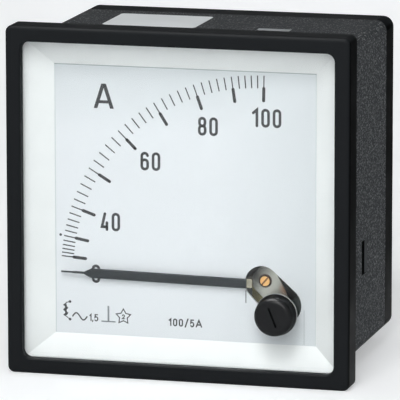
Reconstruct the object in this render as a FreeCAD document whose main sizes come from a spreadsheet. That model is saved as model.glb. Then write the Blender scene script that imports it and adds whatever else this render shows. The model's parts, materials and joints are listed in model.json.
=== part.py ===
import FreeCAD, Part
import math
import os

import Sketcher
from FreeCAD import Placement, Rotation, Vector

# Moving-iron panel ammeter for a 72 mm square front, with a quadrant scale.
# Frame: the centre of the panel face is the origin. +X is to the right as the dial is read,
# +Y runs back through the panel to the terminals and +Z is up. Lengths are millimetres.

document = FreeCAD.newDocument("panel_meter")
sheet = document.addObject("Spreadsheet::Sheet", "sizes")

SIZES = {
    # Front frame
    "bezel_size": 72.0,
    "bezel_depth": 6.0,
    "bezel_corner": 1.4,
    "bezel_edge": 0.9,
    "lip_thickness": 2.0,
    "lip_edge": 0.25,
    "lip_cover": 1.4,
    "opening_corner": 1.8,
    # What the frame holds
    "skirt_wall": 1.65,
    "flange_thickness": 1.2,
    "flange_corner": 1.5,
    "flange_rebate": 0.8,
    "fit_gap": 0.15,
    "window_thickness": 2.0,
    "surround_margin": 0.1,
    "surround_wall": 0.95,
    "dial_margin": 8.3,
    "dial_margin_left": 8.7,
    "dial_margin_low": 7.7,
    "dial_setback": 0.6,
    "dial_thickness": 0.6,
    # Housing and rear cover
    "frame_overlap": 3.0,
    "housing_corner": 2.2,
    "housing_wall": 2.0,
    "housing_length": 39.5,
    "post_size": 4.0,
    "inside_gap": 0.3,
    "cover_length": 7.2,
    "cover_back": 2.5,
    "cover_edge": 0.8,
    "clamp_slot_width": 7.2,
    "clamp_slot_length": 5.2,
    "clamp_slot_depth": 1.2,
    "clamp_slot_inset": 19.6,
    "clamp_slot_station": 20.6,
    "cover_screw_radius": 0.95,
    "cover_screw_head": 2.0,
    "cover_screw_head_height": 1.5,
    "cover_screw_grip": 10.0,
    "screw_gap": 0.05,
    "screw_clearance": 0.2,
    # Pointer axis and what turns on it
    "pivot_inset_x": 19.6,
    "pivot_inset_z": 20.15,
    "rest_angle": 0.85,
    "spindle_radius": 0.6,
    "bore_gap": 0.02,
    "pivot_tip": 0.25,
    "pivot_cone": 0.45,
    "pointer_gap": 1.0,
    "pointer_thickness": 0.5,
    "pointer_width": 1.95,
    "pointer_root": 3.0,
    "bar_setback": 6.4,
    "neck_setback": 4.8,
    "step_setback": 2.5,
    "pointer_margin": 1.6,
    "needle_width": 0.36,
    "needle_tip_width": 0.26,
    "pointer_round": 0.3,
    "carrier_sheet": 0.35,
    "riser_radius": 3.05,
    "riser_thickness": 0.25,
    "riser_width": 1.6,
    "tab_inner": 1.85,
    "tab_outer": 4.4,
    "tab_width": 1.8,
    "hub_radius": 1.5,
    "hub_height": 1.0,
    "tail_reach": 7.4,
    "tail_width": 1.0,
    "cross_reach": 4.4,
    "cross_width": 0.8,
    "weight_radius": 0.9,
    "weight_height": 1.8,
    "cross_weight_radius": 0.6,
    # Zero adjuster and its lever
    "knob_inset_x": 15.5,
    "knob_inset_z": 14.8,
    "knob_radius": 4.2,
    "knob_height": 3.6,
    "knob_taper": 0.3,
    "knob_round": 1.2,
    "knob_rim": 0.15,
    "knob_rim_height": 0.4,
    "knob_neck": 2.5,
    "knob_stem": 1.6,
    "knob_slot_length": 4.2,
    "knob_slot_width": 0.45,
    "knob_slot_depth": 0.8,
    "knob_slot_angle": 22.0,
    "running_gap": 0.06,
    "end_play": 0.1,
    "clip_radius": 3.6,
    "clip_thickness": 0.7,
    "eccentric_offset": 0.9,
    "eccentric_radius": 0.5,
    "eccentric_short": 0.05,
    "stem_gap": 0.4,
    "lever_gap": 2.2,
    "lever_thickness": 0.5,
    "lever_radius": 2.85,
    "lever_end_radius": 1.9,
    "lever_end_reach": 5.4,
    "fork_start": 5.25,
    "fork_gap": 0.06,
    "spring_stud_radius": 0.3,
    "spring_stud_reach": 2.1,
    "spring_stud_gap": 0.15,
    "spring_stud_swing": 0.22,
    # Dial opening
    "aperture_radius": 3.6,
    "aperture_shift_x": 0.3,
    "aperture_shift_z": 1.05,
    "aperture_low_radius": 3.85,
    "slit_width": 0.15,
    "slit_left_gap": 3.35,
    "slit_left_drop": 1.5,
    "slit_left_length": 2.7,
    "slit_right_gap": 8.85,
    "slit_right_drop": 5.25,
    # Front bearing
    "bridge_gap": 0.2,
    "bridge_thickness": 1.0,
    "bridge_radius": 2.85,
    "bridge_eye_shift": 1.0,
    "bridge_eye_drop": 10.35,
    "bridge_eye_spacing": 5.6,
    "bridge_eye_radius": 2.2,
    "boss_radius": 1.25,
    "boss_short": 0.1,
    "bearing_screw_radius": 1.0,
    "bearing_screw_proud": 0.35,
    "bearing_screw_reach": 1.4,
    "bearing_cup_radius": 0.45,
    "bearing_cup_depth": 0.45,
    "bearing_play": 0.1,
    "screw_slot_width": 0.35,
    "screw_slot_depth": 0.4,
    "screw_slot_angle": 40.0,
    "bridge_screw_radius": 0.95,
    "bridge_screw_head": 1.7,
    "bridge_screw_head_height": 1.2,
    "bridge_screw_grip": 5.0,
    # Hairspring
    "spring_gap": 1.9,
    "spring_height": 0.5,
    "spring_strip": 0.1,
    "spring_turns": 3,
    "collet_radius": 0.9,
    "collet_height": 0.7,
    "hub_gap": 0.3,
    # Coil and irons
    "coil_gap": 3.7,
    "coil_bore": 6.5,
    "former_wall": 0.8,
    "former_flange": 13.8,
    "former_flange_thickness": 1.2,
    "coil_radius": 12.9,
    "winding_gap": 0.05,
    "fixed_iron_thickness": 0.35,
    "fixed_iron_angle": 120.0,
    "fixed_iron_place_angle": -40.0,
    "moving_iron_radius": 4.6,
    "moving_iron_thickness": 0.35,
    "moving_iron_angle": 70.0,
    "moving_iron_hub": 1.2,
    "moving_iron_hub_height": 2.0,
    "iron_inset": 2.5,
    "iron_web_angle": 8.0,
    # Damping
    "damper_radius": 10.6,
    "damper_thickness": 0.4,
    "damper_angle": 110.0,
    "damper_gap": 1.9,
    "damper_hub": 1.4,
    "damper_hub_height": 0.5,
    "magnet_size": 5.0,
    "magnet_reach": 7.5,
    "magnet_gap": 0.6,
    # Movement plate and rear bearing
    "plate_thickness": 2.0,
    "pillar_radius": 1.5,
    "pillar_circle": 12.4,
    "rear_boss_radius": 3.0,
    "rear_screw_radius": 1.5,
    "rear_screw_proud": 0.5,
    "rear_cup_radius": 0.6,
    "rear_cup_depth": 0.6,
    "rear_bearing_reach": 2.9,
    "damper_clearance": 2.2,
    "rear_boss_setback": 0.8,
    "stop_pin_radius": 0.5,
    "stop_pin_reach": 5.5,
    "stop_pin_angle": 11.0,
    "full_travel": 90.2,
    "stop_pin_seat": 0.6,
    # Terminals
    "terminal_inset": 17.0,
    "terminal_rise": 24.85,
    "terminal_radius": 2.5,
    "terminal_head": 4.0,
    "terminal_head_height": 1.5,
    "terminal_end": 9.2,
    "terminal_chamfer": 0.5,
    "terminal_boss": 5.0,
    "terminal_head_gap": 0.7,
    "terminal_gap": 0.1,
    "washer_radius": 5.0,
    "washer_thickness": 1.0,
    "nut_across_flats": 8.0,
    "nut_height": 4.0,
    "nut_chamfer": 0.4,
    "lead_width": 2.4,
    "lead_thickness": 1.0,
    "lead_inset": 3.0,
    "lead_rise": 3.0,
    "lead_eye": 4.5,
    "lead_clearance": 0.4,
    "barrier_thickness": 1.6,
    "barrier_height": 14.0,
    "barrier_depth": 5.0,
}


class Length:
    """A number together with the spreadsheet formula that it comes from."""

    def __init__(self, number, text):
        self.number = number
        self.text = text

    def __add__(self, other):
        other = as_length(other)
        return Length(self.number + other.number, f"({self.text} + {other.text})")

    def __radd__(self, other):
        return as_length(other) + self

    def __sub__(self, other):
        other = as_length(other)
        return Length(self.number - other.number, f"({self.text} - {other.text})")

    def __rsub__(self, other):
        return as_length(other) - self

    def __mul__(self, other):
        other = as_length(other)
        return Length(self.number * other.number, f"({self.text} * {other.text})")

    def __rmul__(self, other):
        return as_length(other) * self

    def __truediv__(self, other):
        other = as_length(other)
        return Length(self.number / other.number, f"({self.text} / {other.text})")

    def __neg__(self):
        return Length(-self.number, f"(0 - {self.text})")


def as_length(value):
    """Turns a plain number into a Length."""
    if isinstance(value, Length):
        return value
    return Length(float(value), repr(float(value)))


def square_root(length):
    return Length(math.sqrt(length.number), f"sqrt({length.text})")


def cosine(angle):
    return Length(math.cos(math.radians(angle.number)), f"cos({angle.text})")


def sine(angle):
    return Length(math.sin(math.radians(angle.number)), f"sin({angle.text})")


def direction(up, across):
    """The angle of a direction, in degrees."""
    angle = math.degrees(math.atan2(up.number, across.number))
    return Length(angle, f"atan2({up.text}; {across.text})")


class Values:
    """The sizes of the sheet, each as a Length that knows its cell."""


size = Values()
for row, (name, number) in enumerate(SIZES.items(), start=1):
    sheet.set(f"A{row}", name)
    sheet.set(f"B{row}", repr(number))
    sheet.setAlias(f"B{row}", name)
    setattr(size, name, Length(float(number), f"sizes.{name}"))
document.recompute()

# Places and spans that follow from the frame, so that one change of size moves them all
half_front = size.bezel_size / 2
size.seat_size = size.bezel_size - size.skirt_wall * 2
size.flange_size = size.seat_size - size.fit_gap * 2
size.view_right = half_front - size.dial_margin
size.view_left = size.dial_margin_left - half_front
size.view_low = size.dial_margin_low - half_front
size.housing_size = size.bezel_size - size.frame_overlap * 2
size.clamp_slot_offset = size.housing_size / 2 - size.clamp_slot_inset
size.pivot_x = half_front - size.pivot_inset_x
size.pivot_z = size.pivot_inset_z - half_front
size.knob_x = half_front - size.knob_inset_x
size.knob_z = size.knob_inset_z - half_front
size.aperture_low_x = size.knob_x + size.aperture_shift_x
size.aperture_low_z = size.knob_z + size.aperture_shift_z
size.slit_left_x = size.pivot_x - size.slit_left_gap
size.slit_left_top = size.pivot_z - size.slit_left_drop
size.slit_left_bottom = size.slit_left_top - size.slit_left_length
size.slit_right_x = size.pivot_x + size.slit_right_gap
size.slit_right_top = size.pivot_z - size.slit_right_drop
size.pointer_reach = size.pivot_x - size.view_left - size.pointer_margin
size.pointer_shoulder = size.pointer_reach - size.bar_setback
size.pointer_neck = size.pointer_reach - size.neck_setback
size.pointer_step = size.pointer_reach - size.step_setback
size.bridge_eye_x = size.pivot_x - size.bridge_eye_shift
size.bridge_eye_z = size.pivot_z - size.bridge_eye_drop
size.terminal_x = size.housing_size / 2 - size.terminal_inset
size.terminal_z = size.pivot_z + size.terminal_rise

ZERO = as_length(0)
TWO_SIDES = 2
QUARTERS = 4
HEXAGON = 6
FULL_TURN = 360.0
QUARTER_TURN = 90.0
CORNER_SIGNS = [(-1, -1), (1, -1), (1, 1), (-1, 1)]
PILLAR_ANGLES = (30.0, 135.0, 270.0)
SLOT_OVERRUN = 1.5


def bind(item, name, length):
    """Drives one property of an object from the sheet."""
    item.setExpression(name, as_length(length).text)


def new_body(label, x=ZERO, z=ZERO, turn=None, compound=False):
    """A sub-part, placed by its axis in the front view and turned about that axis."""
    body = document.addObject("PartDesign::Body", label)
    body.Label = label
    body.AllowCompound = compound
    angle = as_length(0 if turn is None else turn)
    rotation = Rotation(Vector(0, 1, 0), angle.number)
    body.Placement = Placement(Vector(x.number, 0, z.number), rotation)
    bind(body, "Placement.Base.x", x)
    bind(body, "Placement.Base.z", z)
    if turn is not None:
        bind(body, "Placement.Rotation.Angle", angle)
    return body


def origin_plane(body, role):
    return [item for item in body.Origin.OriginFeatures if item.Role == role][0]


def new_sketch(body, plane, offset):
    """A sketch on one of the body's own origin planes, moved along the plane's normal."""
    sketch = body.newObject("Sketcher::SketchObject", f"{body.Label}_sketch")
    sketch.AttachmentSupport = [(origin_plane(body, plane), "")]
    sketch.MapMode = "FlatFace"
    sketch.AttachmentOffset = Placement(Vector(0, 0, offset.number), Rotation())
    bind(sketch, "AttachmentOffset.Base.z", offset)
    return sketch


def front_sketch(body, station):
    """A sketch in the front view, at a station along Y: its normal points to -Y."""
    return new_sketch(body, "XZ_Plane", -as_length(station))


def profile_sketch(body):
    """A sketch for turned parts: its first axis is the radius and its second runs along Y."""
    return new_sketch(body, "XY_Plane", ZERO)


def constrain(sketch, length, kind, *where):
    """Adds one dimension to a sketch and drives it from the sheet."""
    index = sketch.addConstraint(Sketcher.Constraint(kind, *where, length.number))
    bind(sketch, f"Constraints[{index}]", length)


def fix_point(sketch, geometry, point, x, y):
    constrain(sketch, x, "DistanceX", -1, 1, geometry, point)
    constrain(sketch, y, "DistanceY", -1, 1, geometry, point)


def draw_polygon(sketch, corners):
    """Straight edges through the corners, each corner placed from the sheet."""
    corners = [(as_length(x), as_length(y)) for x, y in corners]
    first = sketch.GeometryCount
    count = len(corners)
    for number in range(count):
        start = corners[number]
        end = corners[(number + 1) % count]
        start_point = Vector(start[0].number, start[1].number, 0)
        end_point = Vector(end[0].number, end[1].number, 0)
        sketch.addGeometry(Part.LineSegment(start_point, end_point))
    for number in range(count):
        following = first + (number + 1) % count
        sketch.addConstraint(Sketcher.Constraint("Coincident", first + number, 2, following, 1))
        fix_point(sketch, first + number, 1, *corners[number])


def draw_rectangle(sketch, left, right, bottom, top):
    draw_polygon(sketch, [(left, bottom), (right, bottom), (right, top), (left, top)])


def draw_circle(sketch, x, y, radius):
    x, y, radius = as_length(x), as_length(y), as_length(radius)
    centre = Vector(x.number, y.number, 0)
    circle = sketch.addGeometry(Part.Circle(centre, Vector(0, 0, 1), radius.number))
    fix_point(sketch, circle, 3, x, y)
    constrain(sketch, radius, "Radius", circle)


def outer_normal(here, there):
    """The direction from both circles' centres to their common outer tangent, on the right."""
    run_x = there[0].number - here[0].number
    run_y = there[1].number - here[1].number
    run = math.hypot(run_x, run_y)
    along = (here[2].number - there[2].number) / run
    across = math.sqrt(1 - along * along)
    unit_x, unit_y = run_x / run, run_y / run
    return Vector(along * unit_x + across * unit_y, along * unit_y - across * unit_x, 0)


def draw_belt(sketch, circles):
    """A belt round circles (x, y, radius) that are given anticlockwise, with tangent sides."""
    circles = [tuple(as_length(value) for value in circle) for circle in circles]
    count = len(circles)
    first = sketch.GeometryCount
    normals = [outer_normal(circles[k], circles[(k + 1) % count]) for k in range(count)]
    for number, (x, y, radius) in enumerate(circles):
        before = normals[number - 1]
        after = normals[number]
        start = math.atan2(before.y, before.x)
        end = math.atan2(after.y, after.x)
        if end <= start:
            end += 2 * math.pi
        circle = Part.Circle(Vector(x.number, y.number, 0), Vector(0, 0, 1), radius.number)
        sketch.addGeometry(Part.ArcOfCircle(circle, start, end))
    for number, (x, y, radius) in enumerate(circles):
        following = circles[(number + 1) % count]
        here = Vector(x.number, y.number, 0)
        there = Vector(following[0].number, following[1].number, 0)
        tangent_start = here + normals[number] * radius.number
        tangent_end = there + normals[number] * following[2].number
        sketch.addGeometry(Part.LineSegment(tangent_start, tangent_end))
    for number, (x, y, radius) in enumerate(circles):
        arc = first + number
        line = first + count + number
        next_arc = first + (number + 1) % count
        sketch.addConstraint(Sketcher.Constraint("Tangent", line, 1, arc, 2))
        sketch.addConstraint(Sketcher.Constraint("Tangent", line, 2, next_arc, 1))
    for number, (x, y, radius) in enumerate(circles):
        fix_point(sketch, first + number, 3, x, y)
        constrain(sketch, radius, "Radius", first + number)


def draw_square(sketch, side, corner):
    """A square about the axis with rounded corners."""
    reach = as_length(side) / 2 - corner
    draw_belt(sketch, [(reach * sx, reach * sy, corner) for sx, sy in CORNER_SIGNS])


def draw_dial_view(sketch, border=0):
    """The part of the dial that shows, with a border round it."""
    left, right = size.view_left - border, size.view_right + border
    draw_rectangle(sketch, left, right, size.view_low - border, size.view_right + border)


def draw_plain_square(sketch, side):
    """A square about the axis with sharp corners."""
    half = as_length(side) / 2
    draw_rectangle(sketch, -half, half, -half, half)


def feature(body, kind, sketch, length=None):
    item = body.newObject(f"PartDesign::{kind}", f"{body.Label}_{kind.lower()}")
    item.Profile = sketch
    if length is not None:
        item.Length = as_length(length).number
        bind(item, "Length", length)
    sketch.Visibility = False
    return item


def pad(body, sketch, length):
    """Adds material from a front view sketch towards +Y."""
    item = feature(body, "Pad", sketch, length)
    item.Reversed = True
    return item


def pocket(body, sketch, length):
    """Removes material from a front view sketch towards +Y."""
    return feature(body, "Pocket", sketch, length)


def revolve(body, sketch, angle=FULL_TURN):
    """Turns a profile about the body's Y axis, evenly to both sides of the profile's plane."""
    item = feature(body, "Revolution", sketch)
    item.ReferenceAxis = (sketch, ["V_Axis"])
    angle = as_length(angle)
    item.Angle = angle.number
    if angle.number < FULL_TURN:
        item.Midplane = True
        bind(item, "Angle", angle)
    return item


def quarter_pattern(body, features):
    """Repeats features at the four corners, round the body's Y axis."""
    item = body.newObject("PartDesign::PolarPattern", f"{body.Label}_pattern")
    item.Originals = features
    item.Axis = (origin_plane(body, "Y_Axis"), [""])
    item.Angle = FULL_TURN
    item.Occurrences = QUARTERS
    body.Tip = item
    return item


def mirror_pattern(body, features):
    """Repeats features on the other side of the body's YZ plane."""
    item = body.newObject("PartDesign::Mirrored", f"{body.Label}_mirror")
    item.Originals = features
    item.MirrorPlane = (origin_plane(body, "YZ_Plane"), [""])
    body.Tip = item
    return item


def row_pattern(body, features, spacing):
    """Repeats features once more, at a spacing along X."""
    item = body.newObject("PartDesign::LinearPattern", f"{body.Label}_row")
    item.Originals = features
    item.Direction = (origin_plane(body, "X_Axis"), [""])
    item.Length = spacing.number
    bind(item, "Length", spacing)
    item.Occurrences = TWO_SIDES
    body.Tip = item
    return item


def dress(body, kind, chosen, amount):
    """Rounds or bevels the edges of the last feature that the test chooses."""
    document.recompute()
    base = body.Tip
    edges = [f"Edge{k}" for k, edge in enumerate(base.Shape.Edges, start=1) if chosen(edge)]
    item = body.newObject(f"PartDesign::{kind}", f"{body.Label}_{kind.lower()}")
    item.Base = (base, edges)
    name = "Radius" if kind == "Fillet" else "Size"
    setattr(item, name, amount.number)
    bind(item, name, amount)
    return item


TOUCH = 1e-4


def lies_at(edge, station):
    """True for an edge that lies wholly at one station along Y."""
    box = edge.BoundBox
    return abs(box.YMin - station.number) < TOUCH and abs(box.YMax - station.number) < TOUCH


def half_extent(edge):
    box = edge.BoundBox
    return max(abs(box.XMin), abs(box.XMax), abs(box.ZMin), abs(box.ZMax))


# Stations along Y, from the face of the frame to the ends of the terminals
front = -size.bezel_depth
window_front = front + size.lip_thickness
window_back = window_front + size.window_thickness
flange_front = -size.flange_thickness
dial_front = size.dial_setback
dial_back = dial_front + size.dial_thickness
lever_front = dial_back + size.lever_gap
lever_back = lever_front + size.lever_thickness
bridge_front = lever_back + size.bridge_gap
bridge_back = bridge_front + size.bridge_thickness
spring_front = bridge_back + size.spring_gap
spring_back = spring_front + size.spring_height
hub_front = spring_back + size.hub_gap
hub_back = hub_front + size.hub_height
plate_back = size.housing_length
plate_front = plate_back - size.plate_thickness
rear_bearing = plate_front - size.rear_bearing_reach
damper_back = rear_bearing - size.damper_clearance
damper_front = damper_back - size.damper_thickness
former_front = hub_back + size.coil_gap
former_back = damper_front - size.damper_gap
lead_station = former_back - size.former_flange_thickness - size.lead_inset
cover_rear = size.housing_length + size.cover_length
cover_inside = cover_rear - size.cover_back
terminal_front = plate_back + size.terminal_head_gap
lead_eye_front = terminal_front + size.terminal_head_height
terminal_boss_front = lead_eye_front + size.lead_thickness
pointer_back = dial_front - size.pointer_gap
pointer_front = pointer_back - size.pointer_thickness

# Spans in the front view
inside = size.housing_size - size.housing_wall * 2
plate_side = inside - size.inside_gap * 2
opening = size.flange_size - size.lip_cover * 2
screw_offset = inside / 2 - size.post_size / 2

# The zero lever points from the pointer axis to the adjuster
reach_x = size.knob_x - size.pivot_x
reach_z = size.knob_z - size.pivot_z
reach = square_root(reach_x * reach_x + reach_z * reach_z)
toward_x = reach_x / reach
toward_z = reach_z / reach


def make_front_bezel():
    """The black frame: a lip over the window and a skirt round the housing's flange."""
    body = new_body("front_bezel")
    block = front_sketch(body, front)
    draw_square(block, size.bezel_size, size.bezel_corner)
    pad(body, block, size.bezel_depth)
    seat = front_sketch(body, window_front)
    draw_square(seat, size.seat_size, size.flange_corner)
    pocket(body, seat, -window_front)
    sight = front_sketch(body, front)
    draw_square(sight, opening, size.opening_corner)
    pocket(body, sight, size.lip_thickness)
    outer = size.bezel_size.number / 2

    def outer_edge(edge):
        return lies_at(edge, front) and half_extent(edge) > outer - TOUCH

    def at_opening(edge):
        return lies_at(edge, front) and half_extent(edge) < opening.number / 2 + TOUCH

    dress(body, "Fillet", outer_edge, size.bezel_edge)
    dress(body, "Chamfer", at_opening, size.lip_edge)
    return body


def make_window():
    """The clear pane behind the lip, bored for the neck of the adjuster."""
    body = new_body("window")
    pane = front_sketch(body, window_front)
    draw_square(pane, size.flange_size, size.flange_corner)
    draw_circle(pane, size.knob_x, size.knob_z, size.knob_neck + size.running_gap)
    pad(body, pane, size.window_thickness)
    return body


def make_scale_surround():
    """The white frame that slopes from the window down to the dial."""
    body = new_body("scale_surround")
    rim = front_sketch(body, window_back)
    draw_square(rim, size.flange_size, size.flange_corner)
    pad(body, rim, flange_front - window_back)
    mouth_side = opening + size.surround_margin * 2
    slope = (mouth_side - size.view_right * 2) / (dial_front - window_back)
    shoulder_side = mouth_side - slope * (flange_front - window_back) + size.surround_wall * 2
    shoulder = front_sketch(body, flange_front)
    draw_plain_square(shoulder, shoulder_side)
    foot = front_sketch(body, dial_front)
    draw_dial_view(foot, size.surround_wall)
    wall = body.newObject("PartDesign::AdditiveLoft", "scale_surround_wall")
    wall.Profile = shoulder
    wall.Sections = [foot]
    mouth = front_sketch(body, window_back)
    draw_plain_square(mouth, mouth_side)
    sill = front_sketch(body, dial_front)
    draw_dial_view(sill)
    hollow = body.newObject("PartDesign::SubtractiveLoft", "scale_surround_hollow")
    hollow.Profile = mouth
    hollow.Sections = [sill]
    return body


def make_dial_plate():
    """The dial sheet, with one opening for the movement and the adjuster and two fold slits."""
    body = new_body("dial_plate")
    sheet_outline = front_sketch(body, dial_front)
    draw_plain_square(sheet_outline, plate_side)
    pad(body, sheet_outline, size.dial_thickness)
    aperture = front_sketch(body, dial_front)
    lower = (size.aperture_low_x, size.aperture_low_z, size.aperture_low_radius)
    upper = (size.pivot_x, size.pivot_z, size.aperture_radius)
    draw_belt(aperture, [lower, upper])
    pocket(body, aperture, size.dial_thickness)
    slits = front_sketch(body, dial_front)
    left = size.slit_left_x
    right = size.slit_right_x
    half = size.slit_width / 2
    draw_rectangle(slits, left - half, left + half, size.slit_left_bottom, size.slit_left_top)
    draw_rectangle(slits, right - half, right + half, size.view_low, size.slit_right_top)
    pocket(body, slits, size.dial_thickness)
    return body


def make_housing():
    """The moulded case: flange, open tube, corner posts and four notches for panel clamps.

    Each notch is steep in front, where the claw of a clamp pulls, and slopes out behind.
    """
    body = new_body("housing")
    flange = front_sketch(body, flange_front)
    draw_square(flange, size.flange_size, size.flange_corner)
    pad(body, flange, size.flange_thickness)
    tube = front_sketch(body, ZERO)
    draw_square(tube, size.housing_size, size.housing_corner)
    pad(body, tube, size.housing_length)
    cavity = front_sketch(body, flange_front)
    draw_plain_square(cavity, inside)
    pocket(body, cavity, size.housing_length + size.flange_thickness)
    rebate = front_sketch(body, flange_front)
    draw_plain_square(rebate, opening)
    pocket(body, rebate, size.flange_rebate)

    post = front_sketch(body, dial_back)
    post_in = inside / 2 - size.post_size
    post_out = inside / 2 + size.housing_wall / 2
    draw_rectangle(post, post_in, post_out, post_in, post_out)
    post_pad = pad(body, post, plate_front - dial_back)
    quarter_pattern(body, [post_pad])
    hole = front_sketch(body, plate_front - size.cover_screw_grip)
    draw_circle(hole, screw_offset, screw_offset, size.cover_screw_radius + size.screw_gap)
    hole_pocket = pocket(body, hole, size.cover_screw_grip)
    quarter_pattern(body, [hole_pocket])

    slot_top = size.clamp_slot_width / 2 - size.clamp_slot_offset
    slot = new_sketch(body, "XY_Plane", slot_top)
    side = size.housing_size / 2
    outside = side + size.clamp_slot_depth
    slot_front = size.clamp_slot_station - size.clamp_slot_length / 2
    slot_back = size.clamp_slot_station + size.clamp_slot_length / 2
    step = (side - size.clamp_slot_depth, slot_front)
    draw_polygon(slot, [(outside, slot_front), step, (side, slot_back), (outside, slot_back)])
    slot_pocket = feature(body, "Pocket", slot, size.clamp_slot_width)
    quarter_pattern(body, [slot_pocket])
    return body


def make_rear_cover():
    """The smooth back: a tray with bosses for the terminals and a barrier between them."""
    body = new_body("rear_cover")
    block = front_sketch(body, size.housing_length)
    draw_square(block, size.housing_size, size.housing_corner)
    pad(body, block, size.cover_length)
    hollow = front_sketch(body, size.housing_length)
    draw_plain_square(hollow, inside)
    pocket(body, hollow, size.cover_length - size.cover_back)
    post = front_sketch(body, size.housing_length)
    post_in = inside / 2 - size.post_size
    post_out = inside / 2 + size.housing_wall / 2
    draw_rectangle(post, post_in, post_out, post_in, post_out)
    post_pad = pad(body, post, size.cover_length - size.cover_back / 2)
    quarter_pattern(body, [post_pad])
    hole = front_sketch(body, size.housing_length)
    draw_circle(hole, screw_offset, screw_offset, size.cover_screw_radius + size.screw_clearance)
    hole_pocket = pocket(body, hole, size.cover_length)
    head_front = cover_rear - size.cover_screw_head_height - size.end_play
    recess = front_sketch(body, head_front)
    draw_circle(recess, screw_offset, screw_offset, size.cover_screw_head + size.screw_clearance)
    recess_pocket = pocket(body, recess, size.cover_length)
    quarter_pattern(body, [hole_pocket, recess_pocket])

    boss = front_sketch(body, terminal_boss_front)
    draw_circle(boss, size.terminal_x, size.terminal_z, size.terminal_boss)
    boss_pad = pad(body, boss, cover_inside - terminal_boss_front + size.cover_back / 2)
    mirror_pattern(body, [boss_pad])
    bore = front_sketch(body, size.housing_length)
    draw_circle(bore, size.terminal_x, size.terminal_z, size.terminal_radius + size.terminal_gap)
    bore_pocket = pocket(body, bore, size.cover_length)
    mirror_pattern(body, [bore_pocket])

    outer = size.housing_size.number / 2

    def rear_edge(edge):
        return lies_at(edge, cover_rear) and half_extent(edge) > outer - TOUCH

    dress(body, "Fillet", rear_edge, size.cover_edge)
    barrier = front_sketch(body, cover_rear - size.cover_back / 2)
    half = size.barrier_thickness / 2
    low = size.terminal_z - size.barrier_height / 2
    draw_rectangle(barrier, -half, half, low, low + size.barrier_height)
    pad(body, barrier, size.barrier_depth + size.cover_back / 2)
    return body


def make_movement_plate():
    """The plate that the cover clamps to the posts: it carries the coil and the rear bearing."""
    body = new_body("movement_plate")
    outline = front_sketch(body, plate_front)
    draw_plain_square(outline, plate_side)
    pad(body, outline, size.plate_thickness)
    boss = front_sketch(body, rear_bearing - size.rear_boss_setback)
    draw_circle(boss, size.pivot_x, size.pivot_z, size.rear_boss_radius)
    pad(body, boss, size.rear_bearing_reach + size.rear_boss_setback)
    pillars = front_sketch(body, former_back)
    for angle in PILLAR_ANGLES:
        x = size.pivot_x + size.pillar_circle * math.cos(math.radians(angle))
        z = size.pivot_z + size.pillar_circle * math.sin(math.radians(angle))
        draw_circle(pillars, x, z, size.pillar_radius)
    pad(body, pillars, plate_front - former_back)
    holes = front_sketch(body, rear_bearing - size.rear_boss_setback)
    draw_circle(holes, size.pivot_x, size.pivot_z, size.rear_screw_radius + size.bore_gap)
    pocket(body, holes, size.housing_length)
    passages = front_sketch(body, plate_front)
    wide = size.lead_width / 2 + size.lead_clearance
    right_low, right_high = lead_rise_span()
    gap = size.lead_clearance
    x = size.pivot_x
    draw_rectangle(passages, x - wide, x + wide, right_low - gap, right_high + gap)
    left_low, left_high = lead_side_span()
    z = size.pivot_z
    draw_rectangle(passages, left_low - gap, left_high + gap, z - wide, z + wide)
    pocket(body, passages, size.plate_thickness)
    corner_hole = front_sketch(body, plate_front)
    draw_circle(corner_hole, screw_offset, screw_offset, size.cover_screw_radius + size.screw_clearance)
    quarter_pattern(body, [pocket(body, corner_hole, size.plate_thickness)])
    return body


def lead_rise_span():
    """Where the right lead runs back, as heights above the coil."""
    low = size.pivot_z + size.coil_radius + size.lead_rise
    return low, low + size.lead_thickness


def lead_side_span():
    """Where the left lead runs back, as places left of the coil."""
    high = size.pivot_x - size.coil_radius - size.lead_rise
    return high - size.lead_thickness, high


def make_coil_lead_right():
    """A copper strip from the top of the coil to the right terminal."""
    body = new_body("coil_lead_right")
    half = size.lead_width / 2
    low, high = lead_rise_span()
    left, right = size.pivot_x - half, size.pivot_x + half
    start = front_sketch(body, lead_station)
    coil_top = size.pivot_z + size.coil_radius + size.winding_gap
    draw_rectangle(start, left, right, coil_top, high)
    pad(body, start, size.lead_thickness)
    run = front_sketch(body, lead_station)
    draw_rectangle(run, left, right, low, high)
    pad(body, run, terminal_boss_front - lead_station)
    rise = front_sketch(body, lead_eye_front)
    draw_rectangle(rise, left, right, low, size.terminal_z)
    pad(body, rise, size.lead_thickness)
    eye = front_sketch(body, lead_eye_front)
    draw_circle(eye, size.terminal_x, size.terminal_z, size.lead_eye)
    pad(body, eye, size.lead_thickness)
    hole = front_sketch(body, lead_eye_front)
    draw_circle(hole, size.terminal_x, size.terminal_z, size.terminal_radius + size.terminal_gap)
    pocket(body, hole, size.lead_thickness)
    return body


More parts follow.
